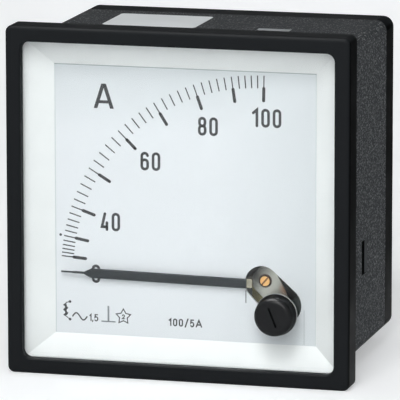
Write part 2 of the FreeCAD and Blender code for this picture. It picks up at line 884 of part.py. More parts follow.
def make_coil_lead_left():
    """A copper strip from the side of the coil, across the back to the left terminal."""
    body = new_body("coil_lead_left")
    half = size.lead_width / 2
    near, far = lead_side_span()
    bottom, top = size.pivot_z - half, size.pivot_z + half
    start = front_sketch(body, lead_station)
    coil_side = size.pivot_x - size.coil_radius - size.winding_gap
    draw_rectangle(start, near, coil_side, bottom, top)
    pad(body, start, size.lead_thickness)
    run = front_sketch(body, lead_station)
    draw_rectangle(run, near, far, bottom, top)
    pad(body, run, terminal_boss_front - lead_station)
    elbow = front_sketch(body, lead_eye_front)
    outer = -size.terminal_x - half
    inner = -size.terminal_x + half
    crossing = [(far, bottom), (far, top), (inner, top), (inner, size.terminal_z)]
    draw_polygon(elbow, crossing + [(outer, size.terminal_z), (outer, bottom)])
    pad(body, elbow, size.lead_thickness)
    eye = front_sketch(body, lead_eye_front)
    draw_circle(eye, -size.terminal_x, size.terminal_z, size.lead_eye)
    pad(body, eye, size.lead_thickness)
    hole = front_sketch(body, lead_eye_front)
    draw_circle(hole, -size.terminal_x, size.terminal_z, size.terminal_radius + size.terminal_gap)
    pocket(body, hole, size.lead_thickness)
    return body


def turned(label, profile, x=ZERO, z=ZERO, turn=None):
    """A part turned about an axis along Y, from a profile of (radius, station) corners."""
    body = new_body(label, x, z, turn)
    sketch = profile_sketch(body)
    draw_polygon(sketch, profile)
    revolve(body, sketch)
    return body


def ring_profile(inner, outer, start, end):
    return [(inner, start), (outer, start), (outer, end), (inner, end)]


def make_coil_former():
    """The bobbin: a tube with two flanges, and two pillars in front for the bridge."""
    body = new_body("coil_former", size.pivot_x, size.pivot_z)
    outer = size.coil_bore + size.former_wall
    flange = size.former_flange_thickness
    profile = profile_sketch(body)
    draw_polygon(profile, [
        (size.coil_bore, former_front),
        (size.former_flange, former_front),
        (size.former_flange, former_front + flange),
        (outer, former_front + flange),
        (outer, former_back - flange),
        (size.former_flange, former_back - flange),
        (size.former_flange, former_back),
        (size.coil_bore, former_back),
    ])
    revolve(body, profile)
    pillar = front_sketch(body, bridge_back)
    eye_x = size.bridge_eye_x - size.pivot_x
    eye_z = size.bridge_eye_z - size.pivot_z
    draw_circle(pillar, eye_x, eye_z, size.bridge_eye_radius)
    pillar_pad = pad(body, pillar, former_front + flange / 2 - bridge_back)
    row_pattern(body, [pillar_pad], size.bridge_eye_spacing)
    hole = front_sketch(body, bridge_back)
    draw_circle(hole, eye_x, eye_z, size.bridge_screw_radius + size.screw_gap)
    hole_pocket = pocket(body, hole, size.bridge_screw_grip)
    row_pattern(body, [hole_pocket], size.bridge_eye_spacing)
    pins = front_sketch(body, former_front)
    for x, z in stop_pin_places():
        draw_circle(pins, x, z, size.stop_pin_radius + size.bore_gap)
    pocket(body, pins, size.stop_pin_seat)
    return body


def stop_pin_places():
    """The two pins that the carrier's tail meets, at zero and beyond full scale."""
    zero = size.stop_pin_angle - size.rest_angle
    full = size.full_travel + size.stop_pin_angle + size.rest_angle
    low = (size.stop_pin_reach * cosine(full), -size.stop_pin_reach * sine(full))
    high = (size.stop_pin_reach * cosine(zero), size.stop_pin_reach * sine(zero))
    return [high, low]


def make_stop_pins():
    """Two steel pins in the bobbin's front flange."""
    body = new_body("stop_pins", size.pivot_x, size.pivot_z, compound=True)
    pins = front_sketch(body, hub_front)
    for x, z in stop_pin_places():
        draw_circle(pins, x, z, size.stop_pin_radius)
    pad(body, pins, former_front + size.stop_pin_seat - hub_front)
    return body


def make_coil_winding():
    """The wound copper, between the flanges of the bobbin."""
    flange = size.former_flange_thickness
    start = former_front + flange + size.winding_gap
    end = former_back - flange - size.winding_gap
    inner = size.coil_bore + size.former_wall + size.winding_gap
    profile = ring_profile(inner, size.coil_radius, start, end)
    return turned("coil_winding", profile, size.pivot_x, size.pivot_z)


def partly_turned(label, ring, blade, angle, turn, web=None):
    """A hub ring with a blade that goes only part of the way round."""
    body = new_body(label, size.pivot_x, size.pivot_z, turn)
    if ring is not None:
        sketch = profile_sketch(body)
        draw_polygon(sketch, ring)
        revolve(body, sketch)
    if web is not None:
        sketch = profile_sketch(body)
        draw_polygon(sketch, web)
        revolve(body, sketch, size.iron_web_angle)
    sketch = profile_sketch(body)
    draw_polygon(sketch, blade)
    revolve(body, sketch, angle)
    return body


def make_fixed_iron():
    """The curved soft iron strip that lines part of the bobbin's bore."""
    outer = size.coil_bore - size.winding_gap
    inner = outer - size.fixed_iron_thickness
    start = former_front + size.iron_inset
    end = former_back - size.iron_inset
    blade = ring_profile(inner, outer, start, end)
    return partly_turned("fixed_iron", None, blade, size.fixed_iron_angle, size.fixed_iron_place_angle)


def make_moving_iron():
    """The curved soft iron strip on the spindle, pushed away from the fixed one."""
    bore = size.spindle_radius + size.bore_gap
    start = former_front + size.iron_inset
    end = former_back - size.iron_inset
    outer = size.moving_iron_radius + size.moving_iron_thickness
    hub_end = start + size.moving_iron_hub_height
    ring = ring_profile(bore, size.moving_iron_hub, start, hub_end)
    web_inner = (bore + size.moving_iron_hub) / 2
    web_outer = (size.moving_iron_radius + outer) / 2
    web = ring_profile(web_inner, web_outer, start, hub_end)
    blade = ring_profile(size.moving_iron_radius, outer, start, end)
    angle = size.moving_iron_angle
    return partly_turned("moving_iron", ring, blade, angle, size.rest_angle, web)


def make_damping_vane():
    """The thin aluminium sector that swings between the magnets."""
    bore = size.spindle_radius + size.bore_gap
    hub_start = damper_front - size.damper_hub_height
    ring = ring_profile(bore, size.damper_hub, hub_start, damper_back)
    blade_inner = (bore + size.damper_hub) / 2
    blade = ring_profile(blade_inner, size.damper_radius, damper_front, damper_back)
    turn = size.rest_angle + QUARTER_TURN
    return partly_turned("damping_vane", ring, blade, size.damper_angle, turn)


def magnet_body(label, start, end):
    """A square magnet below and left of the axis, facing the vane."""
    body = new_body(label, size.pivot_x, size.pivot_z)
    block = front_sketch(body, start)
    middle = size.magnet_reach * math.cos(math.radians(QUARTER_TURN / 2))
    half = size.magnet_size / 2
    draw_rectangle(block, -middle - half, -middle + half, -middle - half, -middle + half)
    pad(body, block, end - start)
    return body


def make_front_magnet():
    return magnet_body("front_magnet", former_back, damper_front - size.magnet_gap)


def make_rear_magnet():
    return magnet_body("rear_magnet", damper_back + size.magnet_gap, plate_front)


def make_bearing_bridge():
    """The steel bridge that reaches from two pillars up to the pointer axis."""
    body = new_body("bearing_bridge", size.pivot_x, size.pivot_z)
    eye_x = size.bridge_eye_x - size.pivot_x
    eye_z = size.bridge_eye_z - size.pivot_z
    left_eye = (eye_x, eye_z, size.bridge_eye_radius)
    right_eye = (eye_x + size.bridge_eye_spacing, eye_z, size.bridge_eye_radius)
    outline = front_sketch(body, bridge_front)
    draw_belt(outline, [left_eye, right_eye, (ZERO, ZERO, size.bridge_radius)])
    pad(body, outline, size.bridge_thickness)
    boss = front_sketch(body, lever_front + size.boss_short)
    draw_circle(boss, ZERO, ZERO, size.boss_radius)
    boss_length = bridge_front - lever_front - size.boss_short + size.bridge_thickness / 2
    pad(body, boss, boss_length)
    bore = front_sketch(body, lever_front)
    draw_circle(bore, ZERO, ZERO, size.bearing_screw_radius + size.bore_gap)
    pocket(body, bore, bridge_back - lever_front)
    eyes = front_sketch(body, bridge_front)
    eye_hole = size.bridge_screw_radius + size.screw_clearance
    draw_circle(eyes, eye_x, eye_z, eye_hole)
    draw_circle(eyes, eye_x + size.bridge_eye_spacing, eye_z, eye_hole)
    pocket(body, eyes, size.bridge_thickness)
    window = front_sketch(body, bridge_front)
    stud = size.spring_stud_radius + size.spring_stud_gap
    swing = size.spring_stud_swing
    across_x, across_z = toward_z, -toward_x
    middle_x = -toward_x * size.spring_stud_reach
    middle_z = -toward_z * size.spring_stud_reach
    start = (middle_x - across_x * swing, middle_z - across_z * swing, stud)
    end = (middle_x + across_x * swing, middle_z + across_z * swing, stud)
    draw_belt(window, [start, end])
    pocket(body, window, size.bridge_thickness)
    return body


def slot_in_head(body, station, reach_across, width, depth, angle):
    """A screwdriver slot across a round head, at an angle from the vertical."""
    slot = front_sketch(body, station)
    half = as_length(width) / 2
    long_x = sine(angle) * reach_across
    long_z = cosine(angle) * reach_across
    wide_x = cosine(angle) * half
    wide_z = sine(angle) * half
    draw_polygon(slot, [
        (-long_x - wide_x, long_z - wide_z),
        (long_x - wide_x, -long_z - wide_z),
        (long_x + wide_x, -long_z + wide_z),
        (-long_x + wide_x, long_z + wide_z),
    ])
    return pocket(body, slot, depth)


def make_front_bearing_screw():
    """The brass screw whose cup holds the front pivot."""
    start = lever_front - size.bearing_screw_proud
    end = bridge_back + size.bearing_screw_reach
    body = turned("front_bearing_screw", [
        (ZERO, start),
        (size.bearing_screw_radius, start),
        (size.bearing_screw_radius, end),
        (size.bearing_cup_radius, end),
        (ZERO, end - size.bearing_cup_depth),
    ], size.pivot_x, size.pivot_z)
    across = size.bearing_screw_radius * SLOT_OVERRUN
    angle = -size.screw_slot_angle
    slot_in_head(body, start, across, size.screw_slot_width, size.screw_slot_depth, angle)
    return body


def make_rear_bearing_screw():
    """The brass screw whose cup holds the rear pivot."""
    start = rear_bearing
    end = plate_back + size.rear_screw_proud
    return turned("rear_bearing_screw", [
        (ZERO, start + size.rear_cup_depth),
        (size.rear_cup_radius, start),
        (size.rear_screw_radius, start),
        (size.rear_screw_radius, end),
        (ZERO, end),
    ], size.pivot_x, size.pivot_z)


def make_bridge_screws():
    """Two cheese-head screws that hold the bridge on its pillars."""
    eye_x = size.bridge_eye_x
    eye_z = size.bridge_eye_z
    body = new_body("bridge_screws", eye_x, eye_z, compound=True)
    head_front = bridge_front - size.bridge_screw_head_height
    tip = bridge_back + size.bridge_screw_grip - size.end_play
    sketch = profile_sketch(body)
    draw_polygon(sketch, [
        (ZERO, head_front),
        (size.bridge_screw_head, head_front),
        (size.bridge_screw_head, bridge_front),
        (size.bridge_screw_radius, bridge_front),
        (size.bridge_screw_radius, tip),
        (ZERO, tip),
    ])
    shank = revolve(body, sketch)
    across = size.bridge_screw_head * SLOT_OVERRUN
    width = size.screw_slot_width
    slot = slot_in_head(body, head_front, across, width, size.screw_slot_depth, ZERO)
    row_pattern(body, [shank, slot], size.bridge_eye_spacing)
    return body


def make_spindle():
    """The steel spindle, with a fine pivot at each end."""
    cup_floor = bridge_back + size.bearing_screw_reach - size.bearing_cup_depth
    tip = cup_floor + size.bearing_play
    rear_tip = rear_bearing + size.rear_cup_depth - size.bearing_play
    return turned("spindle", [
        (ZERO, tip),
        (size.pivot_tip, tip + size.pivot_cone),
        (size.spindle_radius, tip + size.pivot_cone * 2),
        (size.spindle_radius, rear_tip - size.pivot_cone * 2),
        (size.pivot_tip, rear_tip - size.pivot_cone),
        (ZERO, rear_tip),
    ], size.pivot_x, size.pivot_z)


def make_spring_collet():
    """The brass collar that holds the inner end of the hairspring."""
    middle = spring_front + size.spring_height / 2
    half = size.collet_height / 2
    bore = size.spindle_radius + size.bore_gap
    profile = ring_profile(bore, size.collet_radius, middle - half, middle + half)
    return turned("spring_collet", profile, size.pivot_x, size.pivot_z)


def draw_half_turn(sketch, centre_x, radius, upper):
    """Half a circle with both ends on the sketch's first axis."""
    start, end = (0, math.pi) if upper else (math.pi, 2 * math.pi)
    circle = Part.Circle(Vector(centre_x.number, 0, 0), Vector(0, 0, 1), radius.number)
    arc = sketch.addGeometry(Part.ArcOfCircle(circle, start, end))
    fix_point(sketch, arc, 3, centre_x, ZERO)
    constrain(sketch, radius, "Radius", arc)
    constrain(sketch, ZERO, "DistanceY", -1, 1, arc, 1)
    constrain(sketch, ZERO, "DistanceY", -1, 1, arc, 2)


def draw_cross_line(sketch, near_x, far_x):
    """A short line on the first axis that closes one end of the strip."""
    line = Part.LineSegment(Vector(near_x.number, 0, 0), Vector(far_x.number, 0, 0))
    index = sketch.addGeometry(line)
    fix_point(sketch, index, 1, near_x, ZERO)
    fix_point(sketch, index, 2, far_x, ZERO)


def make_hairspring():
    """A flat spiral of strip, from the collet to the stud of the zero lever."""
    stud_angle = direction(-toward_z, -toward_x)
    body = new_body("hairspring", size.pivot_x, size.pivot_z, as_length(-1) * stud_angle)
    half_strip = size.spring_strip / 2
    inner = size.collet_radius + size.bore_gap + half_strip
    outer = size.spring_stud_reach - size.spring_stud_radius - size.spring_strip
    half_turns = int(SIZES["spring_turns"]) * 2
    growth = (outer - inner) / half_turns
    spiral = front_sketch(body, spring_front)
    for number in range(half_turns):
        radius = inner + growth * number
        upper = number % 2 == 0
        centre_x = ZERO if upper else growth
        draw_half_turn(spiral, centre_x, radius - half_strip, upper)
        draw_half_turn(spiral, centre_x, radius + half_strip, upper)
    draw_cross_line(spiral, inner - half_strip, inner + half_strip)
    draw_cross_line(spiral, outer - half_strip, outer + half_strip)
    pad(body, spiral, size.spring_height)
    return body


def make_pointer_carrier():
    """The folded sheet on the spindle: tab, riser, arm, tail and cross arm round a hub."""
    body = new_body("pointer_carrier", size.pivot_x, size.pivot_z, size.rest_angle)
    hub = front_sketch(body, hub_front)
    draw_circle(hub, ZERO, ZERO, size.hub_radius)
    pad(body, hub, size.hub_height)
    arms = front_sketch(body, hub_front)
    outer = size.riser_radius + size.riser_thickness
    half = size.riser_width / 2
    draw_rectangle(arms, -outer, ZERO, -half, half)
    pad(body, arms, size.carrier_sheet)
    tail = front_sketch(body, hub_front)
    draw_rectangle(tail, ZERO, size.tail_reach, -size.tail_width / 2, size.tail_width / 2)
    pad(body, tail, size.carrier_sheet)
    cross = front_sketch(body, hub_front)
    draw_rectangle(cross, -size.cross_width / 2, size.cross_width / 2, ZERO, size.cross_reach)
    pad(body, cross, size.carrier_sheet)
    riser = front_sketch(body, pointer_back)
    draw_rectangle(riser, -outer, -size.riser_radius, -half, half)
    pad(body, riser, hub_front + size.carrier_sheet - pointer_back)
    tab = front_sketch(body, pointer_back)
    tab_half = size.tab_width / 2
    draw_rectangle(tab, -size.tab_outer, -size.tab_inner, -tab_half, tab_half)
    pad(body, tab, size.carrier_sheet)
    bore = front_sketch(body, hub_front)
    draw_circle(bore, ZERO, ZERO, size.spindle_radius + size.bore_gap)
    pocket(body, bore, size.hub_height)
    return body


def make_pointer():
    """The blade: a rounded bar that narrows to a needle over the scale."""
    body = new_body("pointer", size.pivot_x, size.pivot_z, size.rest_angle)
    bar = size.pointer_width / 2
    needle = size.needle_width / 2
    tip = size.needle_tip_width / 2
    outline = front_sketch(body, pointer_front)
    draw_polygon(outline, [
        (-size.pointer_root, -bar),
        (-size.pointer_root, bar),
        (-size.pointer_shoulder, bar),
        (-size.pointer_neck, needle),
        (-size.pointer_step, needle),
        (-size.pointer_step, tip),
        (-size.pointer_reach, tip),
        (-size.pointer_reach, -tip),
        (-size.pointer_step, -tip),
        (-size.pointer_step, -needle),
        (-size.pointer_neck, -needle),
        (-size.pointer_shoulder, -bar),
    ])
    pad(body, outline, size.pointer_thickness)
    bar_length = size.pointer_shoulder.number - size.pointer_root.number

    def long_front_edge(edge):
        return lies_at(edge, pointer_front) and edge.Length > bar_length - TOUCH

    dress(body, "Fillet", long_front_edge, size.pointer_round)
    return body


def make_balance_weights():
    """Two small weights, one on the tail and one on the cross arm."""
    body = new_body("balance_weights", size.pivot_x, size.pivot_z, size.rest_angle, compound=True)
    weights = front_sketch(body, hub_front + size.carrier_sheet)
    draw_circle(weights, size.tail_reach - size.weight_radius, ZERO, size.weight_radius)
    cross_place = size.cross_reach - size.cross_weight_radius
    draw_circle(weights, ZERO, cross_place, size.cross_weight_radius)
    pad(body, weights, size.weight_height)
    return body


def make_zero_lever():
    """The flat lever round the front bearing, forked over the eccentric pin of the adjuster."""
    body = new_body("zero_lever", size.pivot_x, size.pivot_z)
    outline = front_sketch(body, lever_front)
    end_x = toward_x * size.lever_end_reach
    end_z = toward_z * size.lever_end_reach
    far_end = (end_x, end_z, size.lever_end_radius)
    draw_belt(outline, [far_end, (ZERO, ZERO, size.lever_radius)])
    pad(body, outline, size.lever_thickness)
    bore = front_sketch(body, lever_front)
    draw_circle(bore, ZERO, ZERO, size.boss_radius + size.running_gap)
    pocket(body, bore, size.lever_thickness)
    fork = front_sketch(body, lever_front)
    fork_half = size.eccentric_radius + size.fork_gap
    fork_end = reach + size.lever_end_radius * 2
    near = (toward_x * size.fork_start, toward_z * size.fork_start, fork_half)
    far = (toward_x * fork_end, toward_z * fork_end, fork_half)
    draw_belt(fork, [far, near])
    pocket(body, fork, size.lever_thickness)
    stud = front_sketch(body, lever_front)
    stud_x = -toward_x * size.spring_stud_reach
    stud_z = -toward_z * size.spring_stud_reach
    draw_circle(stud, stud_x, stud_z, size.spring_stud_radius)
    pad(body, stud, spring_back - lever_front)
    return body


def make_zero_adjuster():
    """The black knob in the window, with a neck, a stem and an eccentric pin."""
    face = window_front - size.knob_height
    seat = window_front - size.end_play
    neck_end = window_back + size.end_play
    stem_end = lever_front - size.stem_gap
    body = new_body("zero_adjuster", size.knob_x, size.knob_z)
    profile = profile_sketch(body)
    rim = size.knob_radius + size.knob_rim
    draw_polygon(profile, [
        (ZERO, face),
        (size.knob_radius - size.knob_taper, face),
        (size.knob_radius, seat - size.knob_rim_height * 2),
        (size.knob_radius, seat - size.knob_rim_height),
        (rim, seat - size.knob_rim_height),
        (rim, seat),
        (size.knob_neck, seat),
        (size.knob_neck, neck_end),
        (size.knob_stem, neck_end),
        (size.knob_stem, stem_end),
        (ZERO, stem_end),
    ])
    revolve(body, profile)

    def face_edge(edge):
        return lies_at(edge, face)

    dress(body, "Fillet", face_edge, size.knob_round)
    pin = front_sketch(body, stem_end)
    pin_x = -toward_x * size.eccentric_offset
    pin_z = -toward_z * size.eccentric_offset
    draw_circle(pin, pin_x, pin_z, size.eccentric_radius)
    pad(body, pin, lever_back - size.eccentric_short - stem_end)
    reach_across = size.knob_slot_length / 2
    width = size.knob_slot_width
    slot_in_head(body, face, reach_across, width, size.knob_slot_depth, size.knob_slot_angle)
    return body


def make_adjuster_clip():
    """The ring behind the window that keeps the knob in."""
    start = window_back + size.end_play
    end = start + size.clip_thickness
    bore = size.knob_stem + size.bore_gap
    profile = ring_profile(bore, size.clip_radius, start, end)
    return turned("adjuster_clip", profile, size.knob_x, size.knob_z)


def make_cover_screws():
    """Four screws from the rear cover through the movement plate into the posts."""
    body = new_body("cover_screws", compound=True)
    head_end = cover_rear - size.end_play
    head_front = head_end - size.cover_screw_head_height
    tip = plate_front - size.cover_screw_grip + size.end_play
    shank = front_sketch(body, tip)
    draw_circle(shank, screw_offset, screw_offset, size.cover_screw_radius)
    shank_pad = pad(body, shank, head_end - tip)
    head = front_sketch(body, head_front)
    draw_circle(head, screw_offset, screw_offset, size.cover_screw_head)
    head_pad = pad(body, head, size.cover_screw_head_height)
    quarter_pattern(body, [shank_pad, head_pad])
    return body


def make_terminal_studs():
    """The two studs that carry the current through the cover."""
    body = new_body("terminal_studs", compound=True)
    start = terminal_front
    head = front_sketch(body, start)
    draw_hexagon(head, size.terminal_x, size.terminal_z, size.terminal_head * 2)
    head_pad = pad(body, head, size.terminal_head_height)
    shank = front_sketch(body, start)
    draw_circle(shank, size.terminal_x, size.terminal_z, size.terminal_radius)
    shank_pad = pad(body, shank, cover_rear + size.terminal_end - start)
    mirror_pattern(body, [head_pad, shank_pad])
    tip = cover_rear + size.terminal_end

    def tip_edge(edge):
        return lies_at(edge, tip)

    dress(body, "Chamfer", tip_edge, size.terminal_chamfer)
    return body


def draw_hexagon(sketch, x, z, across_flats):
    """A hexagon with two flats level."""
    radius = as_length(across_flats) / (2 * math.cos(math.radians(FULL_TURN / HEXAGON / 2)))
    corners = []
    for number in range(HEXAGON):
        angle = math.radians(FULL_TURN / HEXAGON * number)
        corners.append((x + radius * math.cos(angle), z + radius * math.sin(angle)))
    draw_polygon(sketch, corners)


def make_terminal_washers():
    """A plain washer under each nut."""
    body = new_body("terminal_washers", compound=True)
    ring = front_sketch(body, cover_rear)
    draw_circle(ring, size.terminal_x, size.terminal_z, size.washer_radius)
    draw_circle(ring, size.terminal_x, size.terminal_z, size.terminal_radius + size.terminal_gap)
    mirror_pattern(body, [pad(body, ring, size.washer_thickness)])
    return body


def make_terminal_nuts():
    """Hexagon nuts with their rear corners bevelled, one on each stud."""
    body = new_body("terminal_nuts", compound=True)
    start = cover_rear + size.washer_thickness
    prism = front_sketch(body, start)
    draw_hexagon(prism, size.terminal_x, size.terminal_z, size.nut_across_flats)
    bore = size.terminal_radius + size.bore_gap
    draw_circle(prism, size.terminal_x, size.terminal_z, bore)
    mirror_pattern(body, [pad(body, prism, size.nut_height)])
    end = start + size.nut_height
    outer = size.nut_across_flats.number / 2

    def rear_corner(edge):
        middle = edge.CenterOfMass
        away = math.hypot(abs(middle.x) - size.terminal_x.number, middle.z - size.terminal_z.number)
        return lies_at(edge, end) and away > outer - TOUCH

    dress(body, "Chamfer", rear_corner, size.nut_chamfer)
    return body


MAKERS = [
    make_front_bezel,
    make_window,
    make_scale_surround,
    make_dial_plate,
    make_housing,
    make_rear_cover,
    make_cover_screws,
    make_movement_plate,
    make_coil_former,
    make_coil_winding,
    make_coil_lead_left,
    make_coil_lead_right,
    make_fixed_iron,
    make_front_magnet,
    make_rear_magnet,
    make_bearing_bridge,
    make_bridge_screws,
    make_front_bearing_screw,
    make_rear_bearing_screw,
    make_stop_pins,
    make_terminal_studs,
    make_terminal_washers,
    make_terminal_nuts,
    make_spindle,
    make_spring_collet,
    make_pointer_carrier,
    make_pointer,
    make_balance_weights,
    make_moving_iron,
    make_damping_vane,
    make_hairspring,
    make_zero_lever,
    make_zero_adjuster,
    make_adjuster_clip,
]

nodes = [make() for make in MAKERS]
document.recompute()

for item in document.Objects:
    if "Invalid" in item.State or "Error" in item.State:
        raise RuntimeError(f"{item.Name} failed: {item.State}")
for node in nodes:
    if node.Shape.isNull() or not node.Shape.isValid():
        raise RuntimeError(f"{node.Label} has no valid shape")

os.makedirs("parts", exist_ok=True)
for node in nodes:
    node.Shape.exportStep(f"parts/{node.Label}.step")
    print(f"{node.Label}: {len(node.Shape.Solids)} solid(s), {node.Shape.Volume:.2f} mm3")
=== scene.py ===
# %% [markdown]
# # A square panel ammeter with a quadrant scale
#
# The CAD frame already holds every solid piece of the meter: the black front frame, the
# window, the sloped white surround, the dial sheet, the pointer, the zero adjuster, the
# grained housing and the terminals. This notebook adds what CAD leaves out: the printed
# scale, the surface of each material, the label plate and the screw threads. Then it adds
# the camera and a soft studio light.
#
# Everything is in metres in the frame's own axes: +X to the right as the dial is read,
# +Y back through the panel and +Z up. The panel face is the plane Y = 0.

import json
import math

import bmesh
import bpy
from mathutils import Matrix, Vector


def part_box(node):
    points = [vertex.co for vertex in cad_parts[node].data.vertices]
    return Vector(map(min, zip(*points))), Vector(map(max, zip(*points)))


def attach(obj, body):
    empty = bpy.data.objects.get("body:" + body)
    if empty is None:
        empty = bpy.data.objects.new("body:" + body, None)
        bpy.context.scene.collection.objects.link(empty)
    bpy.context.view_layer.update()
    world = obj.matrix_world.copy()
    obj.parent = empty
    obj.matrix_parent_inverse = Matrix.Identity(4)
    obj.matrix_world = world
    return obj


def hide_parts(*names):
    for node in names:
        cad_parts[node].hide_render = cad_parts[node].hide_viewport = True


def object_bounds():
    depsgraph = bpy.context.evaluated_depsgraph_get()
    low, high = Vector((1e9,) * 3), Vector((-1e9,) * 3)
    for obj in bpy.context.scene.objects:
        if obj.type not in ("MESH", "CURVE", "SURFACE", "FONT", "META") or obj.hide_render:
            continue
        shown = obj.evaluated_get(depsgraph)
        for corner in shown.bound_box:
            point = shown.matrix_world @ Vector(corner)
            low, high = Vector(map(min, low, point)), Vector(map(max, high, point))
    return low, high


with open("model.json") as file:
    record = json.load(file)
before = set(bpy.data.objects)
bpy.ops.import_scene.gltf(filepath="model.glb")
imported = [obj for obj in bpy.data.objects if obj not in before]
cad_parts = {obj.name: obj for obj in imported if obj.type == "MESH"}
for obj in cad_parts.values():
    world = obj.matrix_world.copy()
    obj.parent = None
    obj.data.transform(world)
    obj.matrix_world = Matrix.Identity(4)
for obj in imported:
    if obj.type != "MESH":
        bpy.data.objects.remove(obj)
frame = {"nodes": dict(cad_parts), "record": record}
cad_low, cad_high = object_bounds()
MM = 0.001
print("nodes:", len(frame["nodes"]))

# %% [markdown]
# ## Colours
#
# Colours are noted as they look on a screen, from 0 to 255, and turned into the linear
# values that Cycles works with.


# %% Colour helper
def screen_colour(red, green, blue):
    """A linear RGBA colour from the values that a screen shows."""

    def linear(value):
        value = value / 255
        return value / 12.92 if value <= 0.04045 else ((value + 0.055) / 1.055) ** 2.4

    return (linear(red), linear(green), linear(blue), 1.0)


print("mid grey is", round(screen_colour(128, 128, 128)[0], 3))

# %% [markdown]
# ## Nodes
#
# One function adds a node and fills its inputs, either with a value or with another node's
# output. A few short functions on top of it serve every material below.


# %% Node helpers
def add_node(tree, kind, values=None, **settings):
    """A node with its settings. Each input takes a value or another node's output."""
    node = tree.nodes.new(kind)
    for key, value in settings.items():
        setattr(node, key, value)
    for key, value in (values or {}).items():
        if isinstance(value, bpy.types.NodeSocket):
            tree.links.new(value, node.inputs[key])
        else:
            node.inputs[key].default_value = value
    return node


def math_node(tree, operation, first, second):
    """The result of one operation on two outputs or plain numbers."""
    return add_node(tree, "ShaderNodeMath", {0: first, 1: second}, operation=operation).outputs[0]


def ramp_between(tree, value, low, high, start=0.0, end=1.0):
    """The start value below low, the end value above high, and even in between."""
    values = {0: value, 1: low, 2: high, 3: start, 4: end}
    return add_node(tree, "ShaderNodeMapRange", values).outputs[0]


def use_group(tree, group, **values):
    """A node that runs one of the shared groups."""
    return add_node(tree, "ShaderNodeGroup", values, node_tree=group)


def object_axes(tree):
    """The object's own X, Y and Z as three outputs."""
    place = add_node(tree, "ShaderNodeTexCoord")
    return add_node(tree, "ShaderNodeSeparateXYZ", {0: place.outputs["Object"]}).outputs


print("node helpers ready")

# %% [markdown]
# ## Shared surface effects
#
# Most surfaces on the meter share a few small faults: a fine grain from the mould, slight
# patches where the gloss differs and thin scratches. Each is a node group that turns the
# object's own coordinates into one value, so every material can use it at its own strength.

# %% Surface groups
SCALE_INPUT = ("Scale", "NodeSocketFloat", 1000.0)
CENTRE_INPUT = ("Centre", "NodeSocketVector", (0, 0, 0))
FINE_GRAIN = 2.3
FINE_SHARE = 0.45
SCRATCH_TURNS = ((0.3, 0.5, 0.7), (1.4, 2.1, 0.2))
SCRATCH_STRETCH = (1.0, 0.04, 1.0)
CLOUD_RANGE = (0.35, 0.65)
LINE_RANGE = (0.66, 0.72)
SPECK_RANGE = (0.1, 0.45)
CHOICE_RANGE = (0.4, 1.0)


def new_group(name, inputs, outputs):
    """A shader group with its sockets. Its inputs and the object's coordinates come back too."""
    group = bpy.data.node_groups.new(name, "ShaderNodeTree")
    for socket, kind, value in inputs:
        item = group.interface.new_socket(socket, in_out="INPUT", socket_type=kind)
        item.default_value = value
    for socket in outputs:
        group.interface.new_socket(socket, in_out="OUTPUT", socket_type="NodeSocketFloat")
    entry = add_node(group, "NodeGroupInput")
    place = add_node(group, "ShaderNodeTexCoord")
    return group, entry.outputs, place.outputs["Object"]


def close_group(group, **results):
    """Links the results to the group's outputs."""
    add_node(group, "NodeGroupOutput", results)
    return group


def make_grain_group():
    """Mould grain: small pits of two sizes, as a height from 0 to 1."""
    group, entry, place = new_group("mould_grain", [SCALE_INPUT], ["Height"])
    values = {"Vector": place, "Scale": entry["Scale"], "Smoothness": 0.6}
    coarse = add_node(group, "ShaderNodeTexVoronoi", values, feature="SMOOTH_F1")
    finer = math_node(group, "MULTIPLY", entry["Scale"], FINE_GRAIN)
    values = {"Vector": place, "Scale": finer, "Detail": 3.0, "Roughness": 0.65}
    fine = add_node(group, "ShaderNodeTexNoise", values)
    values = {0: FINE_SHARE, 2: coarse.outputs["Distance"], 3: fine.outputs[0]}
    blend = add_node(group, "ShaderNodeMix", values, data_type="FLOAT")
    return close_group(group, Height=blend.outputs[0])


def make_patches_group():
    """Broad soft patches, from 0 to 1, for small changes of gloss and tone."""
    group, entry, place = new_group("gloss_patches", [SCALE_INPUT], ["Mask"])
    values = {"Vector": place, "Scale": entry["Scale"], "Detail": 4.0, "Roughness": 0.55}
    cloud = add_node(group, "ShaderNodeTexNoise", values)
    return close_group(group, Mask=ramp_between(group, cloud.outputs[0], *CLOUD_RANGE))


def make_scratches_group():
    """A few thin lines in two directions, from 0 to 1."""
    group, entry, place = new_group("fine_scratches", [SCALE_INPUT], ["Mask"])
    directions = []
    for turn in SCRATCH_TURNS:
        values = {"Vector": place, "Rotation": turn, "Scale": SCRATCH_STRETCH}
        stretched = add_node(group, "ShaderNodeMapping", values).outputs[0]
        values = {"Vector": stretched, "Scale": entry["Scale"], "Detail": 2.0}
        lines = add_node(group, "ShaderNodeTexNoise", values)
        directions.append(ramp_between(group, lines.outputs[0], *LINE_RANGE))
    return close_group(group, Mask=math_node(group, "MAXIMUM", *directions))


def make_specks_group():
    """Small round specks of uneven strength, as spark erosion leaves them, from 0 to 1."""
    group, entry, place = new_group("pale_specks", [SCALE_INPUT], ["Mask"])
    values = {"Vector": place, "Scale": entry["Scale"]}
    cells = add_node(group, "ShaderNodeTexVoronoi", values)
    dot = ramp_between(group, cells.outputs["Distance"], *SPECK_RANGE, 1.0, 0.0)
    lottery = add_node(group, "ShaderNodeSeparateColor", {0: cells.outputs["Color"]})
    chosen = ramp_between(group, lottery.outputs[0], *CHOICE_RANGE)
    return close_group(group, Mask=math_node(group, "MULTIPLY", dot, chosen))


